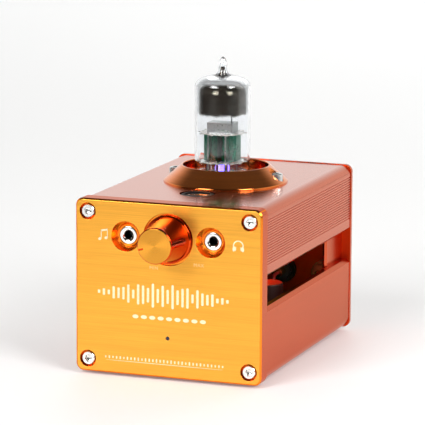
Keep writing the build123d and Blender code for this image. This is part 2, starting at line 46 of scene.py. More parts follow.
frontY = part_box("front_plate")[0].y  # front face of the case
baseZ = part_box("front_plate")[0].z  # lower edge of both end plates
tau = 2 * math.pi


def spot(x, y, z):  # millimetres from the middle of the front face's lower edge
    return Vector((x * mm, frontY + y * mm, baseZ + z * mm))


def say(text):
    print("headphone amplifier:", text)


# node trees
class Wire:  # one output socket, so that values are joined with plain arithmetic
    def __init__(self, sheet, socket):
        self.sheet = sheet
        self.socket = socket

    def maths(self, operation, first, second=0.0):
        return self.sheet.add("ShaderNodeMath", {"operation": operation}, {0: first, 1: second})

    def __add__(self, other):
        return self.maths("ADD", self, other)

    def __mul__(self, other):
        return self.maths("MULTIPLY", self, other)

    def __sub__(self, other):
        return self.maths("SUBTRACT", self, other)

    def __rsub__(self, other):
        return self.maths("SUBTRACT", other, self)

    def __truediv__(self, other):
        return self.maths("DIVIDE", self, other)

    def __rtruediv__(self, other):
        return self.maths("DIVIDE", other, self)

    def __pow__(self, other):
        return self.maths("POWER", self, other)

    def __gt__(self, other):
        return self.maths("GREATER_THAN", self, other)

    def __lt__(self, other):
        return self.maths("LESS_THAN", self, other)

    def __abs__(self):
        return self.maths("ABSOLUTE", self)

    def sine(self):
        return self.maths("SINE", self)

    def clipped(self):
        return self.sheet.add("ShaderNodeClamp", {}, {"Value": self})

    def ramped(self, low, high, to=(0.0, 1.0)):
        sockets = {"Value": self, "From Min": low, "From Max": high, "To Min": to[0], "To Max": to[1]}
        return self.sheet.add("ShaderNodeMapRange", {"interpolation_type": "SMOOTHSTEP"}, sockets)

    __radd__ = __add__
    __rmul__ = __mul__


class Sheet:  # a node tree under construction
    def __init__(self, tree):
        self.tree = tree
        tree.nodes.clear()

    def add(self, kind, settings=None, sockets=None, out=0):
        node = self.tree.nodes.new(kind)
        for key, value in (settings or {}).items():
            if key == "stops":
                self.setStops(node.color_ramp.elements, value)
            else:
                setattr(node, key, value)
        for key, value in (sockets or {}).items():
            if isinstance(value, Wire):
                self.tree.links.new(value.socket, node.inputs[key])
            else:
                node.inputs[key].default_value = value
        return Wire(self, node.outputs[out]) if len(node.outputs) else node

    def setStops(self, elements, stops):
        elements[0].position, elements[0].color = stops[0]
        elements[1].position, elements[1].color = stops[-1]
        for place, colour in stops[1:-1]:
            elements.new(place).color = colour

    def other(self, wire, name):  # another output of the same node
        return Wire(self, wire.socket.node.outputs[name])

    def place(self):
        return self.add("ShaderNodeTexCoord", {}, {}, "Object")

    def axes(self, vector):
        first = self.add("ShaderNodeSeparateXYZ", {}, {0: vector})
        return first, self.other(first, 1), self.other(first, 2)

    def vector(self, operation, first, second):
        return self.add("ShaderNodeVectorMath", {"operation": operation}, {0: first, 1: second})

    def blend(self, factor, first, second, way="MIX"):
        settings = {"data_type": "RGBA", "blend_type": way, "clamp_factor": True}
        return self.add("ShaderNodeMix", settings, {0: factor, 6: first, 7: second}, 2)

    def noise(self, vector, scale, detail=3.0, roughness=0.5):
        sockets = {"Vector": vector, "Scale": scale, "Detail": detail, "Roughness": roughness}
        return self.add("ShaderNodeTexNoise", {}, sockets)

    def bump(self, height, strength, distance):
        return self.add("ShaderNodeBump", {}, {"Height": height, "Strength": strength, "Distance": distance})

    def principled(self, sockets):
        return self.add("ShaderNodeBsdfPrincipled", {"distribution": "MULTI_GGX"}, sockets)

    def output(self, surface):
        self.add("ShaderNodeOutputMaterial", {}, {"Surface": surface})


def newMaterial(name):
    material = bpy.data.materials.new(name)
    material.use_nodes = True
    return material, Sheet(material.node_tree)


def shade(colour, factor):
    return tuple(min(1.0, c * factor) for c in colour[:3]) + (1.0,)


# finishes
def brushedFace(name, look):
    material, sheet = newMaterial(name)
    place = sheet.place()
    streaks = []
    for along, across in look["strokes"]:  # long strokes across the face, thin up and down
        stretched = sheet.vector("MULTIPLY", place, (along, along, across))
        streaks.append(sheet.noise(stretched, 1.0, 2.0, 0.6))
    grain = streaks[0] * 0.3 + streaks[1] * 0.35 + streaks[2] * 0.35
    cloud = sheet.noise(place, 28.0, 2.0)
    tone = grain.ramped(0.36, 0.64)
    colour = sheet.blend(tone, shade(look["colour"], 0.9), shade(look["colour"], 1.07))
    colour = sheet.blend(cloud * 0.15, colour, look["warm"])
    sockets = {
        "Base Color": colour,
        "Metallic": 1.0,
        "Roughness": look["roughness"] + (grain - 0.5) * 0.12,
        "Anisotropic": look["anisotropy"],
        "Anisotropic Rotation": 0.25,
        "Normal": sheet.bump(grain, look["bump"], 0.00003),
    }
    sheet.output(sheet.principled(sockets))
    return material


def anodised(name, look):
    material, sheet = newMaterial(name)
    place = sheet.place()
    lines = sheet.noise(sheet.vector("MULTIPLY", place, look["lines"]), 1.0, 2.0, 0.55)
    upward = sheet.axes(sheet.add("ShaderNodeTexCoord", {}, {}, "Normal"))[2]
    cloud = sheet.noise(place, look.get("cloud", 22.0), 2.0)
    speck = sheet.noise(place, 2600.0, 1.0)
    darker, paler = shade(look["colour"], 0.975), shade(look["colour"], 1.02)
    colour = sheet.blend(lines.ramped(0.38, 0.62), darker, paler)
    colour = sheet.blend(cloud.ramped(0.35, 0.7) * 0.2, colour, look["warm"])
    sockets = {
        "Base Color": colour,
        "Metallic": 1.0,
        "Roughness": look["roughness"] + (lines - 0.5) * 0.03 + (speck - 0.5) * 0.03,
        "Coat Weight": upward.ramped(0.6, 0.98, (look["coat"], look["topCoat"])),
        "Coat Roughness": 0.17,
        "Specular Tint": look["tint"],
        "Normal": sheet.bump(lines * 0.5 + speck * 0.5, look.get("bump", 0.02), 0.00002),
    }
    sheet.output(sheet.principled(sockets))
    return material


def spun(name, look):  # rings about an axis through look["centre"], along Y or Z
    material, sheet = newMaterial(name)
    place = sheet.vector("SUBTRACT", sheet.place(), tuple(look["centre"]))
    x, y, z = sheet.axes(place)
    across = z if look["axis"] == "Y" else y
    radius = (x * x + across * across) ** 0.5
    along = y if look["axis"] == "Y" else z
    groove = sheet.add("ShaderNodeCombineXYZ", {}, {0: radius * look["pitch"], 1: along * look["pitch"]})
    rings = sheet.add("ShaderNodeTexNoise", {"noise_dimensions": "2D"},
                      {"Vector": groove, "Scale": 1.0, "Detail": 2.0})
    cloud = sheet.noise(place, 60.0, 2.0)
    colour = sheet.blend(rings.ramped(0.3, 0.7), shade(look["colour"], 0.93), shade(look["colour"], 1.05))
    colour = sheet.blend(cloud * 0.2, colour, look["warm"])
    if "highlightAngle" in look:  # painted highlight: two pale wedges painted into the colour, standing in for the reflections that a turned face shows
        turn = sheet.add("ShaderNodeMath", {"operation": "ARCTAN2"}, {0: across, 1: x})
        paintedHighlight = (((turn + look["highlightAngle"]) * 2.0).sine() * 0.5 + 0.5) ** 3.0
        colour = sheet.blend(paintedHighlight, shade(look["colour"], 0.86), shade(look["colour"], 1.12))
    sockets = {
        "Base Color": colour,
        "Metallic": 1.0,
        "Roughness": look["roughness"] + (rings - 0.5) * 0.14,
        "Coat Weight": look.get("coat", 0.0),
        "Coat Roughness": 0.08,
        "Normal": sheet.bump(rings, look.get("bump", 0.12), 0.00002),
    }
    sheet.output(sheet.principled(sockets))
    return material


def grained(name, look):  # moulded, plated and painted finishes
    material, sheet = newMaterial(name)
    place = sheet.place()
    grain = sheet.noise(place, look.get("grain", 1800.0), 3.0, 0.6)
    cloud = sheet.noise(place, look.get("cloud", 90.0), 2.0)
    colour = sheet.blend(grain.ramped(0.35, 0.65) * 0.6, shade(look["colour"], 0.88), shade(look["colour"], 1.12))
    stained = look.get("warm", shade(look["colour"], 0.7))
    colour = sheet.blend(cloud.ramped(0.4, 0.75) * look.get("stain", 0.25), colour, stained)
    sockets = {
        "Base Color": colour,
        "Metallic": look.get("metallic", 0.0),
        "Roughness": look["roughness"] + (grain - 0.5) * 0.2 + (cloud - 0.5) * 0.1,
        "Normal": sheet.bump(grain, look.get("bump", 0.2), 0.00004),
    }
    for key in ("Coat Weight", "Transmission Weight", "IOR", "Emission Strength", "Specular IOR Level"):
        if key in look:
            sockets[key] = look[key]
    if "glow" in look:
        sockets["Emission Color"] = look["glow"]
    sheet.output(sheet.principled(sockets))
    return material


def clearGlass():
    material, sheet = newMaterial("tubeGlass")
    place = sheet.place()
    ripple = sheet.noise(place, 90.0, 2.0)
    sockets = {
        "Base Color": (0.97, 0.985, 1.0, 1.0),
        "Roughness": ripple.ramped(0.3, 0.8, (0.0, 0.02)),
        "Transmission Weight": 1.0,
        "IOR": 1.48,
        "Normal": sheet.bump(ripple, 0.04, 0.0002),
    }
    sheet.output(sheet.principled(sockets))
    return material


def getterMirror(edge, fade, crown):  # silvering inside the top of the glass, thin and ragged at its lower edge
    material, sheet = newMaterial("getterMirror")
    place = sheet.place()
    z = sheet.axes(place)[2]
    drift = sheet.noise(place, 160.0, 3.0, 0.6)
    height = z + (drift - 0.5) * (3.4 * mm)
    cover = height.ramped(edge, edge + fade)
    smoke = sheet.noise(place, 260.0, 2.0)
    thin = z.ramped(crown, crown + 3.5 * mm)
    # partly painted shade: the covered silvering's very dark tone stands in for the dark room it mirrors; the brown
    # ragged edge and paler thin crown are the deposit's own tones
    tone = sheet.blend(cover, (0.2, 0.12, 0.07, 1.0), (0.08, 0.072, 0.055, 1.0))
    tone = sheet.blend(thin, tone, (0.2, 0.17, 0.135, 1.0))
    tone = sheet.blend(smoke.ramped(0.45, 0.75) * 0.3, tone, (0.07, 0.06, 0.05, 1.0))
    sockets = {
        "Base Color": tone,
        "Metallic": 1.0,
        "Roughness": 0.03 + smoke * 0.03,
        "Alpha": cover * (1.0 - thin * 0.45),
    }
    sheet.output(sheet.principled(sockets))
    return material


def smokedGlass(name, look):  # thin brown-grey haze of the getter on the glass
    material, sheet = newMaterial(name)
    place = sheet.place()
    z = sheet.axes(place)[2]
    drift = sheet.noise(place, 160.0, 3.0, 0.6)
    height = z + (drift - 0.5) * (2.4 * mm)
    sockets = {
        "Base Color": look["colour"],
        "Roughness": 0.12,
        "Specular IOR Level": 0.2,
        "Alpha": height.ramped(look["edge"], look["edge"] + look["fade"]) * look["cover"],
    }
    sheet.output(sheet.principled(sockets))
    return material


def boardFinish(name, colour):
    material, sheet = newMaterial(name)
    place = sheet.place()
    x, y = sheet.axes(place)[:2]
    warp = sheet.noise(place, 70.0, 1.0)
    bend = sheet.noise(sheet.vector("ADD", place, (0.7, 0.3, 0.0)), 70.0, 1.0)
    lanes = abs(((x * 420.0) + warp * 7.0).sine())
    rows = abs(((y * 420.0) + bend * 7.0).sine())
    track = lanes.ramped(0.9, 0.97) + rows.ramped(0.92, 0.98)
    glaze = sheet.blend(track.clipped() * 0.8, colour, shade(colour, 2.1))
    sockets = {
        "Base Color": glaze,
        "Roughness": 0.34,
        "Coat Weight": 0.4,
        "Normal": sheet.bump(track, 0.3, 0.00004),
    }
    sheet.output(sheet.principled(sockets))
    return material


gold = (0.83, 0.385, 0.052, 1.0)
copper = (0.6, 0.13, 0.055, 1.0)
sawnLines = (400.0, 30.0, 900.0)  # fine lines along the depth of the case
caseWidth, caseHeight, caseDepth = 76.0, 68.0, 112.0
axisZ = 54.1  # knob and jacks
collarSeat = (2.2, 58.0, 67.7)
valveSeat = (0.6, 58.4, 68.5)
knobCentre = spot(0, 0, axisZ)

finishes = {
    "face": brushedFace("brushedGold", {
        "colour": gold, "warm": (0.85, 0.355, 0.044, 1.0), "roughness": 0.3, "anisotropy": 0.6, "bump": 0.12,
        "strokes": ((14.0, 700.0), (34.0, 2600.0), (80.0, 8000.0))}),
    "shell": anodised("copperShell", {
        "colour": copper, "warm": (0.62, 0.13, 0.06, 1.0), "roughness": 0.22, "coat": 0.16,
        "topCoat": 0.8, "tint": (1.0, 0.9, 0.85, 1.0), "lines": sawnLines}),
    "lowerShell": anodised("copperLower", {
        "colour": (0.58, 0.1, 0.04, 1.0), "warm": (0.6, 0.12, 0.05, 1.0), "roughness": 0.22, "coat": 0.08,
        "topCoat": 0.1, "tint": (1.0, 0.75, 0.65, 1.0), "lines": sawnLines}),
    # painted light: inner faces get a redder, brighter copy of the anodise, standing in for the red light bouncing
    # between the copper walls
    "inside": anodised("copperInsidePaintedBounce", {
        "colour": (0.75, 0.08, 0.012, 1.0), "warm": (0.75, 0.09, 0.02, 1.0), "roughness": 0.45, "coat": 0.0,
        "topCoat": 0.0, "tint": (0.8, 0.2, 0.1, 1.0), "lines": sawnLines}),
    # painted shade: a darker, redder copy of the plate's anodise for its recesses and chamfers
    "shadedRecessAndChamfer": anodised("recessAndChamferShade", {
        "colour": (0.9, 0.24, 0.02, 1.0), "warm": (0.9, 0.26, 0.03, 1.0), "roughness": 0.22, "coat": 0.05,
        "topCoat": 0.1, "tint": (1.0, 0.6, 0.3, 1.0), "lines": (900.0, 900.0, 900.0)}),
    "collar": spun("turnedCollar", {
        "colour": (0.82, 0.22, 0.04, 1.0), "warm": (0.86, 0.25, 0.05, 1.0), "roughness": 0.13, "coat": 0.3,
        "centre": spot(*collarSeat), "axis": "Z", "pitch": 2500.0}),
    # painted shade: the knob's flare and sides get a darker, redder copy of its gold anodise, standing in for the
    # dark room they reflect
    "knobSidePaintedShade": spun("knobSidePaintedShade", {
        "colour": (0.66, 0.065, 0.008, 1.0), "warm": (0.7, 0.08, 0.012, 1.0), "roughness": 0.15, "coat": 0.0,
        "centre": knobCentre, "axis": "Y", "pitch": 2500.0}),
    "knobFace": spun("knobFace", {
        "colour": (0.82, 0.355, 0.045, 1.0), "warm": (0.82, 0.33, 0.04, 1.0), "roughness": 0.3, "highlightAngle": 0.5,
        "centre": knobCentre, "axis": "Y", "pitch": 5200.0, "bump": 0.1}),
    "steel": grained("screwSteel", {
        "colour": (0.86, 0.85, 0.83), "metallic": 1.0, "roughness": 0.2, "grain": 900.0, "bump": 0.05, "stain": 0.1}),
    "nickel": grained("brightNickel", {
        "colour": (0.92, 0.91, 0.88), "metallic": 1.0, "roughness": 0.13, "grain": 900.0, "bump": 0.03,
        "stain": 0.1}),
    "brass": grained("goldPlated", {
        "colour": (0.95, 0.66, 0.28), "metallic": 1.0, "roughness": 0.2, "grain": 900.0, "bump": 0.08}),
    "rubber": grained("softRubber", {"colour": (0.02, 0.02, 0.02), "roughness": 0.7, "grain": 1500.0}),
    "mica": grained("micaSheet", {
        "colour": (0.72, 0.69, 0.62), "roughness": 0.28, "Transmission Weight": 0.35, "grain": 700.0, "stain": 0.4}),
    # painted reflection: the grey anode plates are coloured green, standing in for the green light they reflect
    "anode": grained("greyAnodeGreenReflection", {
        "colour": (0.004, 0.14, 0.075), "metallic": 0.9, "roughness": 0.3, "grain": 1300.0, "stain": 0.3}),
    "innerNickel": grained("innerNickel", {
        "colour": (0.36, 0.37, 0.36), "metallic": 1.0, "roughness": 0.3, "grain": 1100.0}),
    "ceramic": grained("socketCeramic", {"colour": (0.78, 0.74, 0.66), "roughness": 0.4, "grain": 900.0}),
    "lamp": grained("lampLens", {
        "colour": (0.16, 0.14, 0.6), "roughness": 0.2, "Emission Strength": 0.1, "glow": (0.22, 0.18, 1.0, 1.0)}),
    "statusLamp": grained("statusLens", {
        "colour": (0.012, 0.012, 0.035), "roughness": 0.2}),
    "blackPlastic": grained("blackPlastic", {"colour": (0.022, 0.022, 0.023), "roughness": 0.42, "grain": 1600.0}),
    "redPlastic": grained("redPlastic", {"colour": (0.5, 0.02, 0.018), "roughness": 0.36, "grain": 1600.0}),
    "potMetal": grained("potMetal", {"colour": (0.5, 0.5, 0.48), "metallic": 1.0, "roughness": 0.4, "grain": 700.0}),
    "blackSleeve": grained("blackSleeve", {
        "colour": (0.012, 0.012, 0.013), "roughness": 0.4, "Specular IOR Level": 0.15, "grain": 700.0, "bump": 0.06}),
    "brownSleeve": grained("brownSleeve", {
        "colour": (0.035, 0.005, 0.003), "roughness": 0.5, "grain": 700.0, "bump": 0.06}),
    "can": grained("canTop", {
        "colour": (0.012, 0.012, 0.013), "roughness": 0.5, "grain": 500.0, "Specular IOR Level": 0.1}),
    "film": grained("filmRed", {"colour": (0.5, 0.045, 0.03), "roughness": 0.3, "grain": 500.0, "bump": 0.1}),
    "resistor": grained("resistorBlue", {"colour": (0.14, 0.3, 0.5), "roughness": 0.35, "grain": 900.0}),
    "ferrite": grained("ferrite", {"colour": (0.05, 0.05, 0.052), "roughness": 0.6, "grain": 1200.0, "bump": 0.5}),
    "chip": grained("chipEpoxy", {"colour": (0.03, 0.03, 0.032), "roughness": 0.5, "grain": 2400.0}),
    "rcaPlastic": grained("rcaPlastic", {"colour": (0.6, 0.6, 0.58), "roughness": 0.4, "grain": 1200.0}),
    "wire": grained("wireInsulation", {"colour": (0.35, 0.02, 0.015), "roughness": 0.4, "grain": 900.0}),
    "ink": grained("paleInk", {"colour": (0.93, 0.74, 0.46), "roughness": 0.5, "grain": 1500.0, "stain": 0.1}),
    "dimInk": grained("dimInk", {"colour": (0.9, 0.56, 0.22), "roughness": 0.5, "grain": 1500.0, "stain": 0.1}),
    "board": boardFinish("boardGreen", (0.012, 0.09, 0.035, 1.0)),
    "glass": clearGlass(),
}
say("finishes are made")


# mesh helpers
def smoothMesh(mesh, degrees=32):
    mesh.shade_smooth()
    mesh.set_sharp_from_angle(angle=math.radians(degrees))


def meshOf(name, bm, degrees=32, outward=True):
    bmesh.ops.remove_doubles(bm, verts=bm.verts, dist=1e-7)
    if outward:
        bmesh.ops.recalc_face_normals(bm, faces=bm.faces)
    mesh = bpy.data.meshes.new(name)
    bm.to_mesh(mesh)
    bm.free()
    smoothMesh(mesh, degrees)
    return mesh


def linked(name, data):  # a new object in the scene
    obj = bpy.data.objects.new(name, data)
    bpy.context.scene.collection.objects.link(obj)
    return obj


def piece(name, mesh, body, finish=None, stands=()):
    obj = linked(name, mesh)
    if finish:
        mesh.materials.clear()
        mesh.materials.append(finishes[finish])
    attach(obj, body)
    if stands:
        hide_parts(*stands)
    return obj


def plain(obj, degrees=32):  # what an object looks like with its modifiers, as a mesh of its own
    graph = bpy.context.evaluated_depsgraph_get()
    mesh = bpy.data.meshes.new_from_object(obj.evaluated_get(graph))
    bpy.data.objects.remove(obj)
    if degrees:
        smoothMesh(mesh, degrees)
    return mesh


def dress(node, finish):  # a CAD node keeps its mesh and gets a finish
    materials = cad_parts[node].data.materials
    materials.clear()
    materials.append(finishes[finish])


def mergedCopy(node):
    bm = bmesh.new()
    bm.from_mesh(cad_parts[node].data)
    bmesh.ops.remove_doubles(bm, verts=bm.verts, dist=2e-6)
    bmesh.ops.dissolve_limit(bm, angle_limit=math.radians(0.6), verts=bm.verts, edges=bm.edges)
    return bm


def softened(node, width=0.0, segments=2, degrees=32):  # a CAD node with its edges broken
    bm = mergedCopy(node)
    mesh = bpy.data.meshes.new(node + "_soft")
    bm.to_mesh(mesh)
    bm.free()
    smoothMesh(mesh, degrees)
    if width:
        obj = linked(node + "_soft", mesh)
        bevel = obj.modifiers.new("edge", "BEVEL")
        bevel.width = width * mm
        bevel.segments = segments
        bevel.limit_method = "ANGLE"
        bevel.angle_limit = math.radians(degrees)
        bevel.miter_outer = "MITER_ARC"
        weights = obj.modifiers.new("flat", "WEIGHTED_NORMAL")  # keeps the large flats flat
        weights.mode = "FACE_AREA"
        weights.weight = 100
        weights.keep_sharp = True
        mesh = plain(obj, 0)
    return mesh


def eased(points, steps=4):  # (radius, height, ease) corners, the eased ones turned into small arcs
    line = []
    for i, point in enumerate(points):
        here = Vector(point[:2])
        ease = point[2] if len(point) > 2 else 0.0
        if not ease or i in (0, len(points) - 1):
            line.append(here)
            continue
        back = (Vector(points[i - 1][:2]) - here).normalized() * ease
        on = (Vector(points[i + 1][:2]) - here).normalized() * ease
        for k in range(steps + 1):
            t = k / steps
            line.append(here + back * (1 - t) ** 2 + on * t ** 2)
    return line


def arcOf(p0, p1, p2, p3, steps=10):  # cubic run between two points
    run = []
    for k in range(steps + 1):
        t = k / steps
        run.append(Vector(p0) * (1 - t) ** 3 + Vector(p1) * 3 * t * (1 - t) ** 2
                   + Vector(p2) * 3 * t * t * (1 - t) + Vector(p3) * t ** 3)
    return run


def lathe(bm, line, steps=96, placed=Matrix.Identity(4), loop=False):
    rings = []
    for radius, height in line:
        if radius < 1e-6:
            rings.append([bm.verts.new(placed @ Vector((0, 0, height * mm)))])
        else:
            rings.append([bm.verts.new(placed @ Vector((radius * mm * math.cos(tau * k / steps),
                                                        radius * mm * math.sin(tau * k / steps), height * mm)))
                          for k in range(steps)])
    pairs = list(zip(rings, rings[1:])) + ([(rings[-1], rings[0])] if loop else [])
    made = []
    for low, high in pairs:
        for k in range(steps):
            n = (k + 1) % steps
            if len(low) == 1 and len(high) == 1:
                break
            if len(low) == 1:
                made.append(bm.faces.new((low[0], high[n], high[k])))
            elif len(high) == 1:
                made.append(bm.faces.new((low[k], low[n], high[0])))
            else:
                made.append(bm.faces.new((low[k], low[n], high[n], high[k])))
    return made


def forwardAt(x, y, z):  # +Z of a turned shape points out of the front
    return Matrix.Translation(spot(x, y, z)) @ Matrix.Rotation(math.radians(90), 4, "X")


def rearwardAt(x, y, z):
    return Matrix.Translation(spot(x, y, z)) @ Matrix.Rotation(math.radians(-90), 4, "X")


def upAt(x, y, z):
    return Matrix.Translation(spot(x, y, z))


def block(bm, low, high, placed=Matrix.Identity(4)):  # a box between two corners in millimetres
    corners = [placed @ (Vector((x, y, z)) * mm) for z in (low[2], high[2]) for y in (low[1], high[1])
               for x in (low[0], high[0])]
    v = [bm.verts.new(c) for c in corners]
    for a, b, c, d in ((0, 2, 3, 1), (4, 5, 7, 6), (0, 1, 5, 4), (2, 6, 7, 3), (0, 4, 6, 2), (1, 3, 7, 5)):
        bm.faces.new((v[a], v[b], v[c], v[d]))


def cutWith(mesh, cutter, degrees=32):  # takes the cutter's solid away from the mesh
    body = linked("cutBody", mesh)
    tool = linked("cutTool", cutter)
    boolean = body.modifiers.new("cut", "BOOLEAN")
    boolean.operation = "DIFFERENCE"
    boolean.solver = "EXACT"
    boolean.object = tool
    result = plain(body, degrees)
    bpy.data.objects.remove(tool)
    return result


# geometry nodes helpers
def geometryTree(name, inputs):  # inputs: {socket name: (socket type, value)}
    group = bpy.data.node_groups.new(name, "GeometryNodeTree")
    sheet = Sheet(group)
    group.interface.new_socket("Geometry", in_out="INPUT", socket_type="NodeSocketGeometry")
    group.interface.new_socket("Geometry", in_out="OUTPUT", socket_type="NodeSocketGeometry")
    for key, (kind, value) in inputs.items():
        socket = group.interface.new_socket(key, in_out="INPUT", socket_type=kind)
        if value is not None:
            socket.default_value = value
    entry = sheet.add("NodeGroupInput")
    taken = {key: sheet.other(entry, key) for key in ["Geometry", *inputs]}
    return group, sheet, taken


def grown(name, group, carrier, values, degrees=32):  # runs a tree on a carrier mesh and gives the plain mesh
    obj = linked(name, carrier)
    modifier = obj.modifiers.new("grow", "NODES")
    modifier.node_group = group
    for item in group.interface.items_tree:
        if item.item_type == "SOCKET" and item.in_out == "INPUT" and item.name in values:
            modifier[item.identifier] = values[item.name]
    return plain(obj, degrees)


def pointCarrier(name, places):
    mesh = bpy.data.meshes.new(name)
    mesh.from_pydata([tuple(p) for p in places], [], [])
    return mesh


def seatedTree():  # one shape on every carrier point, leaned one way and spun about its own axis
    group, sheet, taken = geometryTree("seatedShapes", {
        "Shape": ("NodeSocketObject", None), "Lean": ("NodeSocketVector", (0, 0, 0)),
        "Spin seed": ("NodeSocketInt", 1), "Spin range": ("NodeSocketFloat", tau),
        "Finish": ("NodeSocketMaterial", None)})
    points = sheet.add("GeometryNodeMeshToPoints", {}, {"Mesh": taken["Geometry"], "Radius": 0.001})
    shape = sheet.add("GeometryNodeObjectInfo", {}, {"Object": taken["Shape"]}, "Geometry")
    lean = sheet.add("FunctionNodeEulerToRotation", {}, {0: taken["Lean"]})
    seated = sheet.add("GeometryNodeInstanceOnPoints", {},
                       {"Points": points, "Instance": shape, "Rotation": lean})
    spin = sheet.add("FunctionNodeRandomValue", {"data_type": "FLOAT"},
                     {2: 0.0, 3: taken["Spin range"], "Seed": taken["Spin seed"]}, 1)
    euler = sheet.add("ShaderNodeCombineXYZ", {}, {2: spin})
    turned = sheet.add("GeometryNodeRotateInstances", {}, {"Instances": seated, "Rotation": euler})
    real = sheet.add("GeometryNodeRealizeInstances", {}, {"Geometry": turned})
    dressed = sheet.add("GeometryNodeSetMaterial", {}, {"Geometry": real, "Material": taken["Finish"]})
    sheet.add("NodeGroupOutput", {}, {"Geometry": dressed})
    return group


seated = seatedTree()


def seatedOn(name, shapeMesh, places, lean, finish, seed=1, degrees=32):
    shape = linked(name + "Shape", shapeMesh)
    mesh = grown(name, seated, pointCarrier(name, places), {
        "Shape": shape, "Lean": lean, "Spin seed": seed, "Spin range": tau, "Finish": finishes[finish]}, degrees)
    bpy.data.objects.remove(shape)
    return mesh


# case
say("case")
caseLook = {"frontEdge": 0.14, "rearEdge": 0.12, "shellEdge": 0.06, "bridgeEdge": 0.8, "faceHalf": (37.2, 33.2),
            "wallHalf": (34.4, 30.4)}


def reachOf(polygon):  # how far a face's middle lies from the case's long axis, sideways and up or down
    return abs(polygon.center.x), abs(polygon.center.z - spot(0, 0, caseHeight / 2).z)


def within(polygon, half):
    reach = reachOf(polygon)
    return max(reach[0] / half[0], reach[1] / half[1]) < mm


frontPlate = piece("frontPlate", softened("front_plate", caseLook["frontEdge"], 3), "case", "face",
                   ["front_plate"])
for finish in ("lowerShell", "shadedRecessAndChamfer", "inside"):
    frontPlate.data.materials.append(finishes[finish])
for polygon in frontPlate.data.polygons:  # painted shade: the plate's sides, chamfers and turned recesses get darker, redder finishes than its brushed face, and its back the painted bounce finish
    if polygon.normal.y > 0.9:
        polygon.material_index = 3
    elif polygon.center.y > spot(0, 0.1, 0).y and within(polygon, caseLook["faceHalf"]):
        polygon.material_index = 2
    elif polygon.normal.y > -0.9:
        polygon.material_index = 2 if polygon.normal.y < -0.2 else 1
rearPlate = piece("rearPlate", softened("rear_plate", caseLook["rearEdge"], 3), "case", "shell",
                  ["rear_plate"])
rearPlate.data.materials.append(finishes["inside"])
# the inner face takes the painted bounce finish
for polygon in rearPlate.data.polygons:
    polygon.material_index = int(polygon.normal.y < -0.9)
for node, name, finish in (("top_shell", "topShell", "shell"), ("bottom_shell", "bottomShell", "lowerShell")):
    shell = piece(name, softened(node, caseLook["shellEdge"], 2), "case", finish, [node])
    shell.data.materials.append(finishes["inside"])
    # the inner faces take the painted bounce finish
    for polygon in shell.data.polygons:
        polygon.material_index = int(within(polygon, caseLook["wallHalf"]))


def bridgeMesh(node):  # upright bar with a wide bevel along its front corners
    low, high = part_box(node)
    bevel = caseLook["bridgeEdge"] * mm
    outline = [(low.x + bevel, low.y), (high.x - bevel, low.y), (high.x, low.y + bevel),
               (high.x, high.y), (low.x, high.y), (low.x, low.y + bevel)]
    bm = bmesh.new()
    foot = [bm.verts.new((x, y, low.z)) for x, y in outline]
    crown = [bm.verts.new((x, y, high.z)) for x, y in outline]
    bm.faces.new(foot[::-1])
    bm.faces.new(crown)
    for k in range(len(outline)):
        n = (k + 1) % len(outline)
        bm.faces.new((foot[k], foot[n], crown[n], crown[k]))
    return meshOf(node + "Bar", bm, 30)


for node, name in (("right_side_bridge", "rightSideBridge"), ("left_side_bridge", "leftSideBridge")):
    piece(name, bridgeMesh(node), "case", "lowerShell", [node])

screwLook = {"head": 2.75, "headHeight": 3.0, "key": 2.5, "keyDepth": 1.6, "knurls": 32, "shank": 1.45,
             "frontInset": 5.05, "frontSeat": 3.2, "frontLength": 10, "collarReach": 21.0, "collarSeat": 1.2,
             "collarLength": 4.1}


def socketScrew(length, look, chamfer=0.3):  # socket-head screw standing under its head, knurled round the side
    bm = bmesh.new()
    knurls = look["knurls"]
    steps = knurls * 4
    head = look["head"]
    top = look["headHeight"]
    levels = [(head, 0.0, 0), (head, 0.25, 1), (head, top - 0.55, 1), (head - 0.08, top - chamfer, 0),
              (head - chamfer - 0.1, top, 0)]
    rings = []
    for radius, height, knurled in levels:
        ring = []
        for k in range(steps):
            cut = 0.12 * (0.5 - 0.5 * math.cos(tau * k / 4)) if knurled else 0.0
            angle = tau * k / steps
            reach = radius - cut
            ring.append(bm.verts.new(Vector((reach * math.cos(angle), reach * math.sin(angle), height)) * mm))
        rings.append(ring)
    keyRadius = look["key"] / math.sqrt(3)
    mouth = []
    for k in range(steps):  # hexagon mouth, then its walls down to a drilled cone
        angle = tau * k / steps
        side = (angle % (tau / 6)) - tau / 12
        reach = keyRadius * math.cos(tau / 12) / math.cos(side)
        mouth.append((reach * math.cos(angle), reach * math.sin(angle)))
    for height, grow in ((top, 1.08), (top - 0.12, 1.0), (top - look["keyDepth"], 1.0)):
        rings.append([bm.verts.new(Vector((x * grow, y * grow, height)) * mm) for x, y in mouth])
    for low, high in zip(rings, rings[1:]):
        for k in range(steps):
            n = (k + 1) % steps
            bm.faces.new((low[k], low[n], high[n], high[k]))
    pit = bm.verts.new(Vector((0, 0, top - look["keyDepth"] - 0.5)) * mm)
    for k in range(steps):
        bm.faces.new((rings[-1][k], rings[-1][(k + 1) % steps], pit))
    shank = look["shank"]
    under = [bm.verts.new(Vector((shank * math.cos(tau * k / steps), shank * math.sin(tau * k / steps), 0)) * mm)
             for k in range(steps)]
    foot = [bm.verts.new(Vector((v.co.x, v.co.y, -length * mm))) for v in under]
    for k in range(steps):
        n = (k + 1) % steps
        bm.faces.new((under[k], under[n], rings[0][n], rings[0][k]))
        bm.faces.new((foot[k], foot[n], under[n], under[k]))
    bm.faces.new(foot[::-1])
    return meshOf("socketScrew", bm, 28)


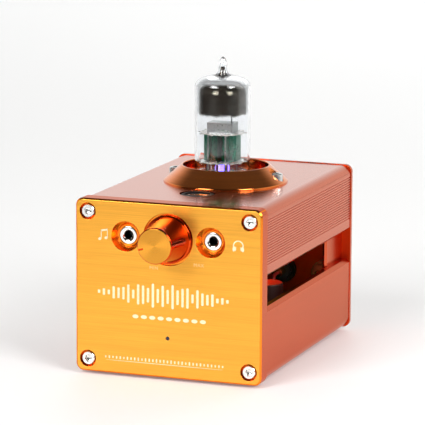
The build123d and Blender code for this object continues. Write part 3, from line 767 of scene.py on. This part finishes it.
cornerX = caseWidth / 2 - screwLook["frontInset"]
cornerZ = (screwLook["frontInset"], caseHeight - screwLook["frontInset"])
frontPlaces = [spot(x, screwLook["frontSeat"], z) for x in (-cornerX, cornerX) for z in cornerZ]
frontScrews = seatedOn("frontScrews", socketScrew(screwLook["frontLength"], screwLook), frontPlaces,
                       (math.radians(90), 0, 0), "steel", 4, 28)
piece("frontScrews", frontScrews, "case", None, ["front_screws"])
screwXs = (-screwLook["collarReach"], screwLook["collarReach"])
collarPlaces = [spot(collarSeat[0] + x, collarSeat[1], collarSeat[2] + screwLook["collarSeat"]) for x in screwXs]
collarScrews = seatedOn("collarScrews", socketScrew(screwLook["collarLength"], screwLook), collarPlaces,
                        (0, 0, 0), "steel", 9, 28)
piece("collarScrews", collarScrews, "case", None, ["collar_screws"])


# collar
say("collar and valve")
collarLook = {"mouth": 17.0, "foot": 24.7, "rise": 6.6, "rim": 0.6, "pocket": 3.0, "pocketFloor": 1.2}


def collarMesh(look):
    bm = bmesh.new()
    mouth, foot, rise = look["mouth"], look["foot"], look["rise"]
    line = eased([(mouth, 0), (foot - 0.01, 0), (foot, look["rim"], 0.25), (mouth + 0.55, rise, 0.22),
                  (mouth, rise, 0.3), (mouth, 0)], 5)
    lathe(bm, line[:-1], 192, upAt(*collarSeat), True)
    mesh = meshOf("collar", bm, 30)
    tool = bmesh.new()
    pocket, floor = look["pocket"], look["pocketFloor"]
    for x in screwXs:
        lathe(tool, [(0, floor), (pocket, floor), (pocket, 9), (0, 9)], 64, upAt(collarSeat[0] + x, *collarSeat[1:]))
    return cutWith(mesh, meshOf("pockets", tool), 30)


piece("tubeCollar", collarMesh(collarLook), "case", "collar", ["tube_collar"])

# valve
valveLook = {"radius": 11.0, "wall": 0.85, "baseWall": 2.6, "shoulder": 36.8, "tip": 48.6,
             "mirrorEdge": 26.0, "mirrorRadius": 9.35, "mirrorTop": 37.8}


def glassLine(inset, floor, look):  # outline above the seat, from the axis at the bottom to the axis at the tip
    radius = look["radius"] - inset
    top = look["tip"] - 2.6 * inset
    shoulder = (radius, look["shoulder"])
    neck = (3.6, 41.2 - inset)
    thin = inset * 0.6  # the wall gets thinner up the tip
    line = eased([(0, floor), (radius, floor, 1.1), shoulder], 6)
    line += arcOf(shoulder, (radius, 39.8 - inset), (7.4, 40.7 - inset), neck, 16)[1:]
    line += arcOf(neck, (2.3, 41.5 - inset), (1.9 - thin, 42.4), (1.8 - thin, 44.0), 8)[1:]
    line += arcOf((1.8 - thin, 44.0), (1.75 - thin, 46.4), (1.15 - thin, top), (0, top), 10)[1:]
    return line


def envelopeMesh(look):
    bm = bmesh.new()
    lathe(bm, glassLine(0.0, 0.0, look), 128, upAt(*valveSeat))
    inner = lathe(bm, glassLine(look["wall"], look["baseWall"], look), 128, upAt(*valveSeat))
    bmesh.ops.reverse_faces(bm, faces=inner)
    return meshOf("tubeEnvelope", bm, 60, False)


piece("tubeEnvelope", envelopeMesh(valveLook), "tube", "glass", ["tube_envelope"])


def mirrorMesh(look):
    bm = bmesh.new()
    bottom = look["mirrorEdge"] - 2.5
    radius, top = look["mirrorRadius"], look["mirrorTop"]
    line = [Vector((radius, bottom + k * 0.8)) for k in range(int((top - 4.4 - bottom) / 0.8))]
    line += arcOf((radius, top - 4.4), (radius, top - 1.6), (radius - 1.6, top), (radius - 4.2, top + 0.15), 14)
    line.append(Vector((0, top + 0.3)))
    lathe(bm, line, 128, upAt(*valveSeat))
    return meshOf("getterMirror", bm, 60, True)


def hazeMesh(look):  # the same flash seen against the glass
    bm = bmesh.new()
    inset = look["wall"] + 0.1
    radius = look["radius"] - inset
    bottom = look["mirrorEdge"] - 1.5
    line = [Vector((radius, bottom + k * 0.8)) for k in range(int((look["shoulder"] - bottom) / 0.8))]
    line += [p for p in glassLine(inset, look["baseWall"], look) if look["shoulder"] - 0.5 < p.y < 41.0]
    lathe(bm, line, 128, upAt(*valveSeat))
    return meshOf("getterHaze", bm, 60, True)


def tipShadeMesh():  # brown deposit in the root of the exhaust tip
    bm = bmesh.new()
    lathe(bm, [(3.0, 40.1), (1.9, 40.7), (1.2, 41.8), (0.95, 43.3), (0.8, 44.6), (0, 44.8)], 48, upAt(*valveSeat))
    return meshOf("tipShade", bm, 60, True)


def valveLevel(height):  # above the valve's seat
    return spot(0, 0, valveSeat[2] + height).z


finishes["mirror"] = getterMirror(valveLevel(25.6), 1.3 * mm, valveLevel(38.6))
piece("getterMirror", mirrorMesh(valveLook), "tube", "mirror")
finishes["haze"] = smokedGlass("getterHaze", {
    "colour": (0.05, 0.042, 0.032, 1.0), "edge": valveLevel(25.4), "fade": 1.6 * mm, "cover": 0.3})
piece("getterHaze", hazeMesh(valveLook), "tube", "haze")
finishes["tipShade"] = smokedGlass("tipShade", {
    "colour": (0.05, 0.032, 0.02, 1.0), "edge": spot(0, 0, 60.0).z, "fade": 1.0 * mm, "cover": 0.92})
piece("tipShade", tipShadeMesh(), "tube", "tipShade")

supportLook = {"rod": 0.42, "low": 71.5, "high": 87.6, "reach": 3.6, "foot": 6.4,
               "lead": 0.35, "leadLow": 70.5, "leadHigh": 75.2, "leadCircle": 5.95}


def supportRods(look):  # the plates' side rods between the micas and their leads down to the pins
    bm = bmesh.new()
    rod, low, high = look["rod"], look["low"], look["high"]
    for x in (-look["reach"], look["reach"]):
        for side in (-1, 1):
            lathe(bm, eased([(0, low), (rod, low), (rod, high, 0.1), (0, high)]), 12,
                  upAt(valveSeat[0] + x, valveSeat[1] + side * look["foot"], 0))
    lead, low, high = look["lead"], look["leadLow"], look["leadHigh"]
    for k in range(1, 10):
        angle = tau * k / 10
        x = valveSeat[0] + look["leadCircle"] * math.sin(angle)
        y = valveSeat[1] + look["leadCircle"] * math.cos(angle)
        lathe(bm, [(0, low), (lead, low), (lead, high), (0, high)], 10, upAt(x, y, 0))
    return meshOf("supportRods", bm, 40)


piece("supportRods", supportRods(supportLook), "tube", "innerNickel")


def plateFlanges(reach):  # crimped side wings and stiffening beads of the plates
    bm = bmesh.new()
    for x in (valveSeat[0] - reach, valveSeat[0] + reach):
        for side in (-1, 1):
            y = valveSeat[1] + side * 5.4
            block(bm, (x - 0.55, y - 1.1, 76.2), (x + 0.55, y + 1.1, 86.3), Matrix.Translation(spot(0, 0, 0)))
        for level in (77.6, 81.2, 84.8):
            lathe(bm, [(0, -0.25), (3.35, -0.25), (3.35, 0.25), (0, 0.25)], 24,
                  upAt(x, valveSeat[1], level) @ Matrix.Scale(0.93, 4, (1, 0, 0)) @ Matrix.Scale(1.3, 4, (0, 1, 0)))
    return meshOf("plateFlanges", bm, 30)


piece("plateFlanges", plateFlanges(supportLook["reach"]), "tube", "anode")
for node, finish in (("tube_micas", "mica"), ("tube_anodes", "anode"), ("tube_shield", "anode"),
                     ("tube_cathodes", "innerNickel"), ("grid_posts", "innerNickel"), ("tube_pins", "nickel"),
                     ("getter_shield", "innerNickel"), ("getter_ring", "innerNickel")):
    dress(node, finish)

# volume knob
say("front controls")
knobLook = {"base": 9.45, "face": 7.0, "length": 14.7, "sink": 0.5, "notchAngle": 196.0, "notchWidth": 0.75}


def knobMesh(look):
    bm = bmesh.new()
    base, face, length = look["base"], look["face"], look["length"]
    line = eased([(3.02, length - 2.0), (3.02, 4.3), (6.6, 4.3), (6.6, 0), (base, 0, 0.15), (base, 1.0, 0.2),
                  (base - 0.55, 1.35, 0.2)], 4)
    line += [Vector((base - 0.55, 1.35))]
    line += arcOf((base - 0.6, 1.45), (7.95, 5.0), (face + 0.2, 9.0), (face, length - 0.45), 18)
    line += eased([(face, length - 0.45), (face - 0.05, length - 0.3, 0.1), (face - 0.4, length, 0.12),
                   (face - 0.8, length)], 3)[1:]
    line += [Vector((face * (1 - k / 6), length)) for k in range(1, 6)] + [Vector((0, length))]
    line = [Vector((0, length - 2.0))] + line
    placed = forwardAt(0, look["sink"], axisZ)
    lathe(bm, line, 160, placed)
    mesh = meshOf("knob", bm, 30)
    tool = bmesh.new()
    block(tool, (face - 2.3, -look["notchWidth"] / 2, length - 0.6), (face + 1.5, look["notchWidth"] / 2, length + 1),
          placed @ Matrix.Rotation(math.radians(look["notchAngle"]), 4, "Z"))
    lathe(tool, [(0, 4.8), (1.25, 4.8), (1.25, 12), (0, 12)], 32,
          placed @ Matrix.Translation((0, 0, 8.0 * mm)) @ Matrix.Rotation(math.radians(90), 4, "X"))
    return cutWith(mesh, meshOf("knobTool", tool), 30)


knob = piece("volumeKnob", knobMesh(knobLook), "volume_control", "knobSidePaintedShade", ["volume_knob"])
knob.data.materials.append(finishes["knobFace"])
faceY = knobCentre.y - (knobLook["length"] - knobLook["sink"]) * mm
# only the flat front keeps the gold; the rest of the knob carries the painted shade
for polygon in knob.data.polygons:
    if polygon.normal.y < -0.9 and abs(polygon.center.y - faceY) < 0.05 * mm:
        polygon.material_index = 1

jackLook = {"outer": 3.5, "bore": 1.8, "front": 2.8, "rear": 8.7, "reach": 17.3}


def sleeveMesh(look):
    bm = bmesh.new()
    depth = look["rear"] - look["front"]
    outer, bore = look["outer"], look["bore"]
    for x in (-look["reach"], look["reach"]):
        line = eased([(bore, 0), (outer, 0), (outer, depth, 0.3), (bore + 0.5, depth, 0.2),
                      (bore, depth - 0.3, 0.1), (bore, 0)], 4)
        lathe(bm, line[:-1], 72, forwardAt(x, look["rear"], axisZ), True)
    return meshOf("jackSleeves", bm, 30)


piece("jackSleeves", sleeveMesh(jackLook), "case", "nickel", ["jack_sleeves"])

# marks on the front
markLook = {"proud": 0.03, "sunk": 0.01, "wordHeight": 1.3, "letterHeight": 2.2}


def raised(bm, points):  # a flat outline of (x, z) points on the front face, given some thickness
    front = [bm.verts.new(spot(x, -markLook["proud"], z)) for x, z in points]
    back = [bm.verts.new(spot(x, markLook["sunk"], z)) for x, z in points]
    bm.faces.new(front)
    bm.faces.new(back[::-1])
    count = len(points)
    for k in range(count):
        n = (k + 1) % count
        bm.faces.new((front[k], back[k], back[n], front[n]))


def discPoints(x, z, rx, rz, lean=0.0, steps=28):
    out = []
    for k in range(steps):
        u, w = rx * math.cos(tau * k / steps), rz * math.sin(tau * k / steps)
        out.append((x + u * math.cos(lean) - w * math.sin(lean), z + u * math.sin(lean) + w * math.cos(lean)))
    return out


def bandPoints(x, z, outer, inner, start, end, steps=28):  # part of a ring
    angles = [start + (end - start) * k / steps for k in range(steps + 1)]
    return ([(x + outer * math.cos(a), z + outer * math.sin(a)) for a in angles]
            + [(x + inner * math.cos(a), z + inner * math.sin(a)) for a in reversed(angles)])


def symbolMesh():
    bm = bmesh.new()
    x, z = -26.5, 54.3  # a pair of quavers by the line-in jack
    raised(bm, discPoints(x - 1.35, z - 1.75, 0.72, 0.52, 0.35))
    raised(bm, discPoints(x + 1.2, z - 1.25, 0.72, 0.52, 0.35))
    raised(bm, [(x - 0.95, z - 1.7), (x - 0.68, z - 1.7), (x - 0.68, z + 1.75), (x - 0.95, z + 1.7)])
    raised(bm, [(x + 1.6, z - 1.2), (x + 1.87, z - 1.2), (x + 1.87, z + 2.3), (x + 1.6, z + 2.25)])
    raised(bm, [(x - 0.95, z + 1.1), (x + 1.87, z + 1.65), (x + 1.87, z + 2.35), (x - 0.95, z + 1.8)])
    x, z = 28.5, 53.7  # headphones by their jack
    raised(bm, bandPoints(x, z, 2.15, 1.72, math.radians(-8), math.radians(188)))
    for side in (-1, 1):
        raised(bm, discPoints(x + side * 1.78, z - 1.15, 0.5, 1.05, side * 0.12))
        raised(bm, discPoints(x + side * 1.1, z - 1.15, 0.22, 0.85, side * 0.12))
    return meshOf("frontSymbols", bm, 30)


piece("frontSymbols", symbolMesh(), "case", "ink")


def wordMesh(name, text, x, z, height):  # generic words of a volume scale
    curve = bpy.data.curves.new(name, "FONT")
    curve.body = text
    curve.size = height * mm * 1.42
    curve.align_x = "CENTER"
    curve.extrude = markLook["proud"] * mm / 2
    curve.resolution_u = 3
    curve.space_character = 1.12
    mesh = plain(linked(name, curve), 30)
    place = Matrix.Translation(spot(x, -markLook["proud"] / 2, z - height / 2))
    mesh.transform(place @ Matrix.Rotation(math.radians(90), 4, "X"))
    return mesh


for name, text, x, z in (("minMark", "MIN", -5.7, 42.8), ("maxMark", "MAX", 12.6, 45.1)):
    piece(name, wordMesh(name, text, x, z, markLook["wordHeight"]), "case", "dimInk")


def barTree():  # a row of rounded bars, tall in the middle and uneven, the same on both sides
    group, sheet, taken = geometryTree("levelBars", {
        "Count": ("NodeSocketInt", 27), "Pitch": ("NodeSocketFloat", 0.002), "Bar": ("NodeSocketObject", None),
        "Floor": ("NodeSocketFloat", 0.2), "Ripple": ("NodeSocketFloat", 1.0),
        "Finish": ("NodeSocketMaterial", None)})
    row = sheet.add("GeometryNodeMeshLine", {}, {"Count": taken["Count"], "Offset": sheet.add(
        "ShaderNodeCombineXYZ", {}, {0: taken["Pitch"]})})
    shift = (taken["Count"] - 1) * taken["Pitch"] * -0.5
    centred = sheet.add("GeometryNodeTransform", {}, {"Geometry": row, "Translation": sheet.add(
        "ShaderNodeCombineXYZ", {}, {0: shift})})
    index = sheet.add("GeometryNodeInputIndex")
    fromMiddle = abs(index - (taken["Count"] - 1) * 0.5)
    share = fromMiddle / ((taken["Count"] - 1) * 0.5)
    swell = (1.0 - share * share) * (1.0 - taken["Floor"]) + taken["Floor"]
    ripple = abs((fromMiddle * 1.93 + 0.9).sine()) * 0.62 + 0.38
    height = swell * ((ripple - 1.0) * taken["Ripple"] + 1.0)
    shape = sheet.add("GeometryNodeObjectInfo", {}, {"Object": taken["Bar"]}, "Geometry")
    bars = sheet.add("GeometryNodeInstanceOnPoints", {}, {"Points": centred, "Instance": shape, "Scale": sheet.add(
        "ShaderNodeCombineXYZ", {}, {0: 1.0, 1: 1.0, 2: height})})
    joined = sheet.add("GeometryNodeRealizeInstances", {}, {"Geometry": bars})
    dressed = sheet.add("GeometryNodeSetMaterial", {}, {"Geometry": joined, "Material": taken["Finish"]})
    sheet.add("NodeGroupOutput", {}, {"Geometry": dressed})
    return group


levelBars = barTree()


def barRow(name, look):
    bm = bmesh.new()
    width, height = look["width"], look["height"]
    half, end = width / 2, min(width / 2, height / 2)
    upper = [math.radians(a) for a in range(0, 181, 20)]
    lower = [math.radians(a) for a in range(180, 361, 20)]
    outline = [(half * math.cos(a), height / 2 - end + end * math.sin(a)) for a in upper]
    outline += [(half * math.cos(a), -height / 2 + end + end * math.sin(a)) for a in lower]
    front = [bm.verts.new(Vector((u, -markLook["proud"], w)) * mm) for u, w in outline]
    back = [bm.verts.new(Vector((u, markLook["sunk"], w)) * mm) for u, w in outline]
    bm.faces.new(front)
    bm.faces.new(back[::-1])
    for k in range(len(outline)):
        n = (k + 1) % len(outline)
        bm.faces.new((front[k], back[k], back[n], front[n]))
    bar = linked(name + "Bar", meshOf(name + "Bar", bm, 30))
    mesh = grown(name, levelBars, bpy.data.meshes.new(name), {
        "Count": look["count"], "Pitch": look["pitch"] * mm, "Bar": bar, "Floor": look["floor"],
        "Ripple": look["ripple"], "Finish": finishes["ink"]}, 30)
    bpy.data.objects.remove(bar)
    mesh.transform(Matrix.Translation(spot(look["x"], 0, look["z"])))
    return mesh


rowLooks = {
    "levelMark": {"count": 27, "pitch": 2.02, "width": 0.95, "height": 9.6, "x": -2.0, "z": 31.9,
                  "floor": 0.16, "ripple": 1.0},
    "dashMark": {"count": 9, "pitch": 3.45, "width": 2.5, "height": 1.5, "x": 0.6, "z": 23.2,
                 "floor": 1.0, "ripple": 0.0},
    "ruleMark": {"count": 1, "pitch": 1.0, "width": 49.0, "height": 0.22, "x": -1.5, "z": 5.2,
                 "floor": 1.0, "ripple": 0.0},
    "tickMark": {"count": 33, "pitch": 1.5, "width": 0.55, "height": 1.5, "x": -1.5, "z": 6.4,
                 "floor": 0.7, "ripple": 0.6},
}
for name, look in rowLooks.items():
    piece(name, barRow(name, look), "case")

rearLook = {"terminals": (-27.0, -9.5, 9.5, 27.0), "signZ": 31.0, "sign": (1.1, 0.2), "ruleZ": 13.4,
            "rule": (6.5, 0.12), "rings": (-24.0, -8.0, 25.0), "ringZ": 46.0, "ring": (6.6, 6.85)}


def rearBar(bm, x, z, halfX, halfZ):
    low = (x - halfX, caseDepth - markLook["sunk"], z - halfZ)
    high = (x + halfX, caseDepth + markLook["proud"], z + halfZ)
    block(bm, low, high, Matrix.Translation(spot(0, 0, 0)))


def rearMarks(look):  # signs of the terminals, circles round the inputs and rules, read from behind
    bm = bmesh.new()
    long, thin = look["sign"]
    for k, x in enumerate(look["terminals"]):
        rearBar(bm, x, look["signZ"], long, thin)
        if k % 2:  # plus on every second one
            rearBar(bm, x, look["signZ"], thin, long)
    for left, right in (look["terminals"][:2], look["terminals"][2:]):
        rearBar(bm, (left + right) / 2, look["ruleZ"], *look["rule"])
    inner, outer = look["ring"]
    sunk, proud = -markLook["sunk"], markLook["proud"]
    for x in look["rings"]:
        lathe(bm, [(inner, sunk), (outer, sunk), (outer, proud), (inner, proud)], 64,
              rearwardAt(x, caseDepth, look["ringZ"]), True)
    return meshOf("rearMarks", bm, 30)


piece("rearMarks", rearMarks(rearLook), "case", "ink")
for name, text, x, z in (("leftMark", "L", 18.25, 10.2), ("rightMark", "R", -18.25, 10.2),
                         ("leftInMark", "L", -24.0, 54.6), ("rightInMark", "R", -8.0, 54.6)):
    letter = wordMesh(name, text, 0.0, 0.0, markLook["letterHeight"])
    turned = Matrix.Rotation(math.pi, 4, "Z") @ Matrix.Translation(-spot(0, 0, 0))
    letter.transform(Matrix.Translation(spot(x, caseDepth, z)) @ turned)
    piece(name, letter, "case", "ink")

# tall capacitor
ventLook = {"seat": (2.2, 26.2), "reach": 4.0, "low": 67.11, "high": 67.15, "bars": ((1.75, 0.0), (0.12, 0.03))}


def ventMesh(look):  # pale scored plate in the top of the tall capacitor
    bm = bmesh.new()
    x, y = look["seat"]
    for half, lift in look["bars"]:
        block(bm, (x - look["reach"], y - half, look["low"] + lift),
              (x + look["reach"], y + half, look["high"] + lift), Matrix.Translation(spot(0, 0, 0)))
    return meshOf("capacitorVent", bm, 30)


piece("capacitorVent", ventMesh(ventLook), "case", "nickel")

# carried-over nodes and their finishes
say("boards and rear")
carried = {
    "bridge_screws": "steel", "rear_screws": "steel", "rubber_feet": "rubber", "tube_socket": "ceramic",
    "socket_contacts": "nickel", "tube_led": "lamp", "line_in_socket": "blackPlastic",
    "headphone_socket": "blackPlastic", "pot_body": "potMetal", "pot_nut": "steel", "pot_shaft": "potMetal",
    "knob_set_screw": "steel", "status_led": "statusLamp", "led_light_pipe": "statusLamp", "upper_board": "board",
    "lower_board": "board", "riser_board": "board", "capacitor_sleeve": "blackSleeve", "capacitor_can": "can",
    "small_capacitors": "blackSleeve", "filter_capacitors": "brownSleeve", "film_capacitors": "film",
    "resistors": "resistor", "amp_chip": "chip", "heat_sink": "inside", "output_coils": "ferrite",
    "rca_shells": "brass", "rca_cores": "rcaPlastic", "speaker_studs": "brass", "speaker_bases": "blackPlastic",
    "speaker_cap_1": "blackPlastic", "speaker_cap_2": "redPlastic", "speaker_cap_3": "blackPlastic",
    "speaker_cap_4": "redPlastic", "speaker_wires": "wire", "dc_inlet": "blackPlastic", "dc_pin": "nickel",
    "switch_body": "potMetal", "switch_lever": "nickel", "rear_nuts": "nickel",
}
for node, finish in carried.items():
    dress(node, finish)

# room
say("room")


def floorMesh():
    bm = bmesh.new()
    bmesh.ops.create_grid(bm, x_segments=4, y_segments=4, size=14.0)
    return meshOf("floor", bm)


def floorFinish():
    material, sheet = newMaterial("paleFloor")
    place = sheet.place()
    cloud = sheet.noise(place, 3.0, 2.0)
    seen = sheet.add("ShaderNodeLightPath", {}, {}, "Is Camera Ray")
    x, y = sheet.axes(place)[:2]
    ahead = ((x * x + y * y) ** 0.5).ramped(0.38, 0.52) * y.ramped(-0.1, 0.15, (1.0, 0.0))  # dark in reflections
    ahead = ahead * (1.0 - seen)
    lift = sheet.blend(y.ramped(0.1, 1.4), (0.15, 0.149, 0.147, 1.0), (0.27, 0.273, 0.273, 1.0))
    pale = sheet.blend(cloud, (0.8, 0.795, 0.79, 1.0), (0.82, 0.815, 0.81, 1.0))
    sockets = {
        "Base Color": sheet.blend(ahead, pale, (0.03, 0.03, 0.03, 1.0)),
        "Roughness": 0.6,
        "Emission Color": sheet.blend(ahead, lift, (0.0, 0.0, 0.0, 1.0)),
        "Emission Strength": 1.0,
    }
    sheet.output(sheet.principled(sockets))
    return material


floor = linked("floor", floorMesh())
floor.data.materials.append(floorFinish())

roomLook = {"level": 1.0, "overhead": 0.12, "front": 0.05, "backdrop": 0.95}


def makeWorld(look):
    world = bpy.data.worlds.new("studio")
    bpy.context.scene.world = world
    world.use_nodes = True
    sheet = Sheet(world.node_tree)
    way = sheet.add("ShaderNodeTexCoord", {}, {}, "Generated")
    y, z = sheet.axes(way)[1:]
    up = z.ramped(0.3, 0.75, (1.0, look["overhead"]))
    toFront = y.ramped(-0.45, 0.05, (look["front"], 1.0))
    seen = sheet.add("ShaderNodeLightPath", {}, {}, "Is Camera Ray")
    level = up * toFront * look["level"] * (1.0 - seen) + seen * look["backdrop"]
    background = sheet.add("ShaderNodeBackground", {}, {"Color": (0.99, 1.0, 0.995, 1.0), "Strength": level})
    sheet.add("ShaderNodeOutputWorld", {}, {"Surface": background})


makeWorld(roomLook)

lamps = (
    {"name": "leftBox", "place": (-0.35, -1.2, 0.78), "size": (0.65, 1.0), "power": 17.0, "gloss": False},
    {"name": "rightBox", "place": (1.1, -0.7, 0.8), "size": (0.65, 1.0), "power": 17.0, "gloss": False},
    {"name": "backBox", "place": (0.1, 1.5, 1.0), "size": (2.0, 0.9), "power": 14.0, "gloss": False},
    {"name": "leftWindow", "place": (-0.5, -1.2, 0.8), "size": (0.6, 0.7), "power": 16.0, "gloss": True},
    {"name": "rightWindow", "place": (1.15, -0.65, 0.82), "size": (0.6, 0.7), "power": 16.0, "gloss": True},
)
for look in lamps:
    light = bpy.data.lights.new(look["name"], "AREA")
    light.shape = "RECTANGLE"
    light.size, light.size_y = look["size"]
    light.energy = look["power"]
    obj = linked(look["name"], light)
    obj.location = look["place"]
    obj.visible_glossy = look["gloss"]
    obj.visible_diffuse = not look["gloss"]
    obj.rotation_euler = (Vector((0, 0, 0.06)) - obj.location).to_track_quat("-Z", "Y").to_euler()

points = (("valveGlow", (valveSeat[0], valveSeat[1], 72.6), 0.001, (0.24, 0.17, 1.0)),
          ("slotFill", (0.0, 72.0, 34.0), 0.5, (1.0, 0.13, 0.04)))
for name, place, power, colour in points:
    light = bpy.data.lights.new(name, "POINT")
    light.energy = power
    light.color = colour
    light.shadow_soft_size = 0.003
    obj = linked(name, light)
    obj.location = spot(*place)
    obj.visible_glossy = False

viewLook = {"yaw": 20.22, "pitch": 10.59, "roll": 0.30, "distance": 1.1318, "lens": 254.1,
            "aim": (18.06, 0.0, 65.89)}


def makeCamera(look):
    data = bpy.data.cameras.new("view")
    data.lens = look["lens"]
    data.sensor_width = 36.0
    data.clip_start, data.clip_end = 0.05, 60.0
    camera = linked("view", data)
    yaw, pitch = math.radians(look["yaw"]), math.radians(look["pitch"])
    back = Vector((math.sin(yaw) * math.cos(pitch), -math.cos(yaw) * math.cos(pitch), math.sin(pitch)))
    camera.location = spot(*look["aim"]) + back * look["distance"]
    level = (-back).to_track_quat("-Z", "Y").to_matrix().to_4x4()
    camera.rotation_euler = (level @ Matrix.Rotation(math.radians(look["roll"]), 4, "Z")).to_euler()
    bpy.context.scene.camera = camera


makeCamera(viewLook)
bpy.context.scene.view_settings.view_transform = "Standard"

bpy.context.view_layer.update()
say("done")
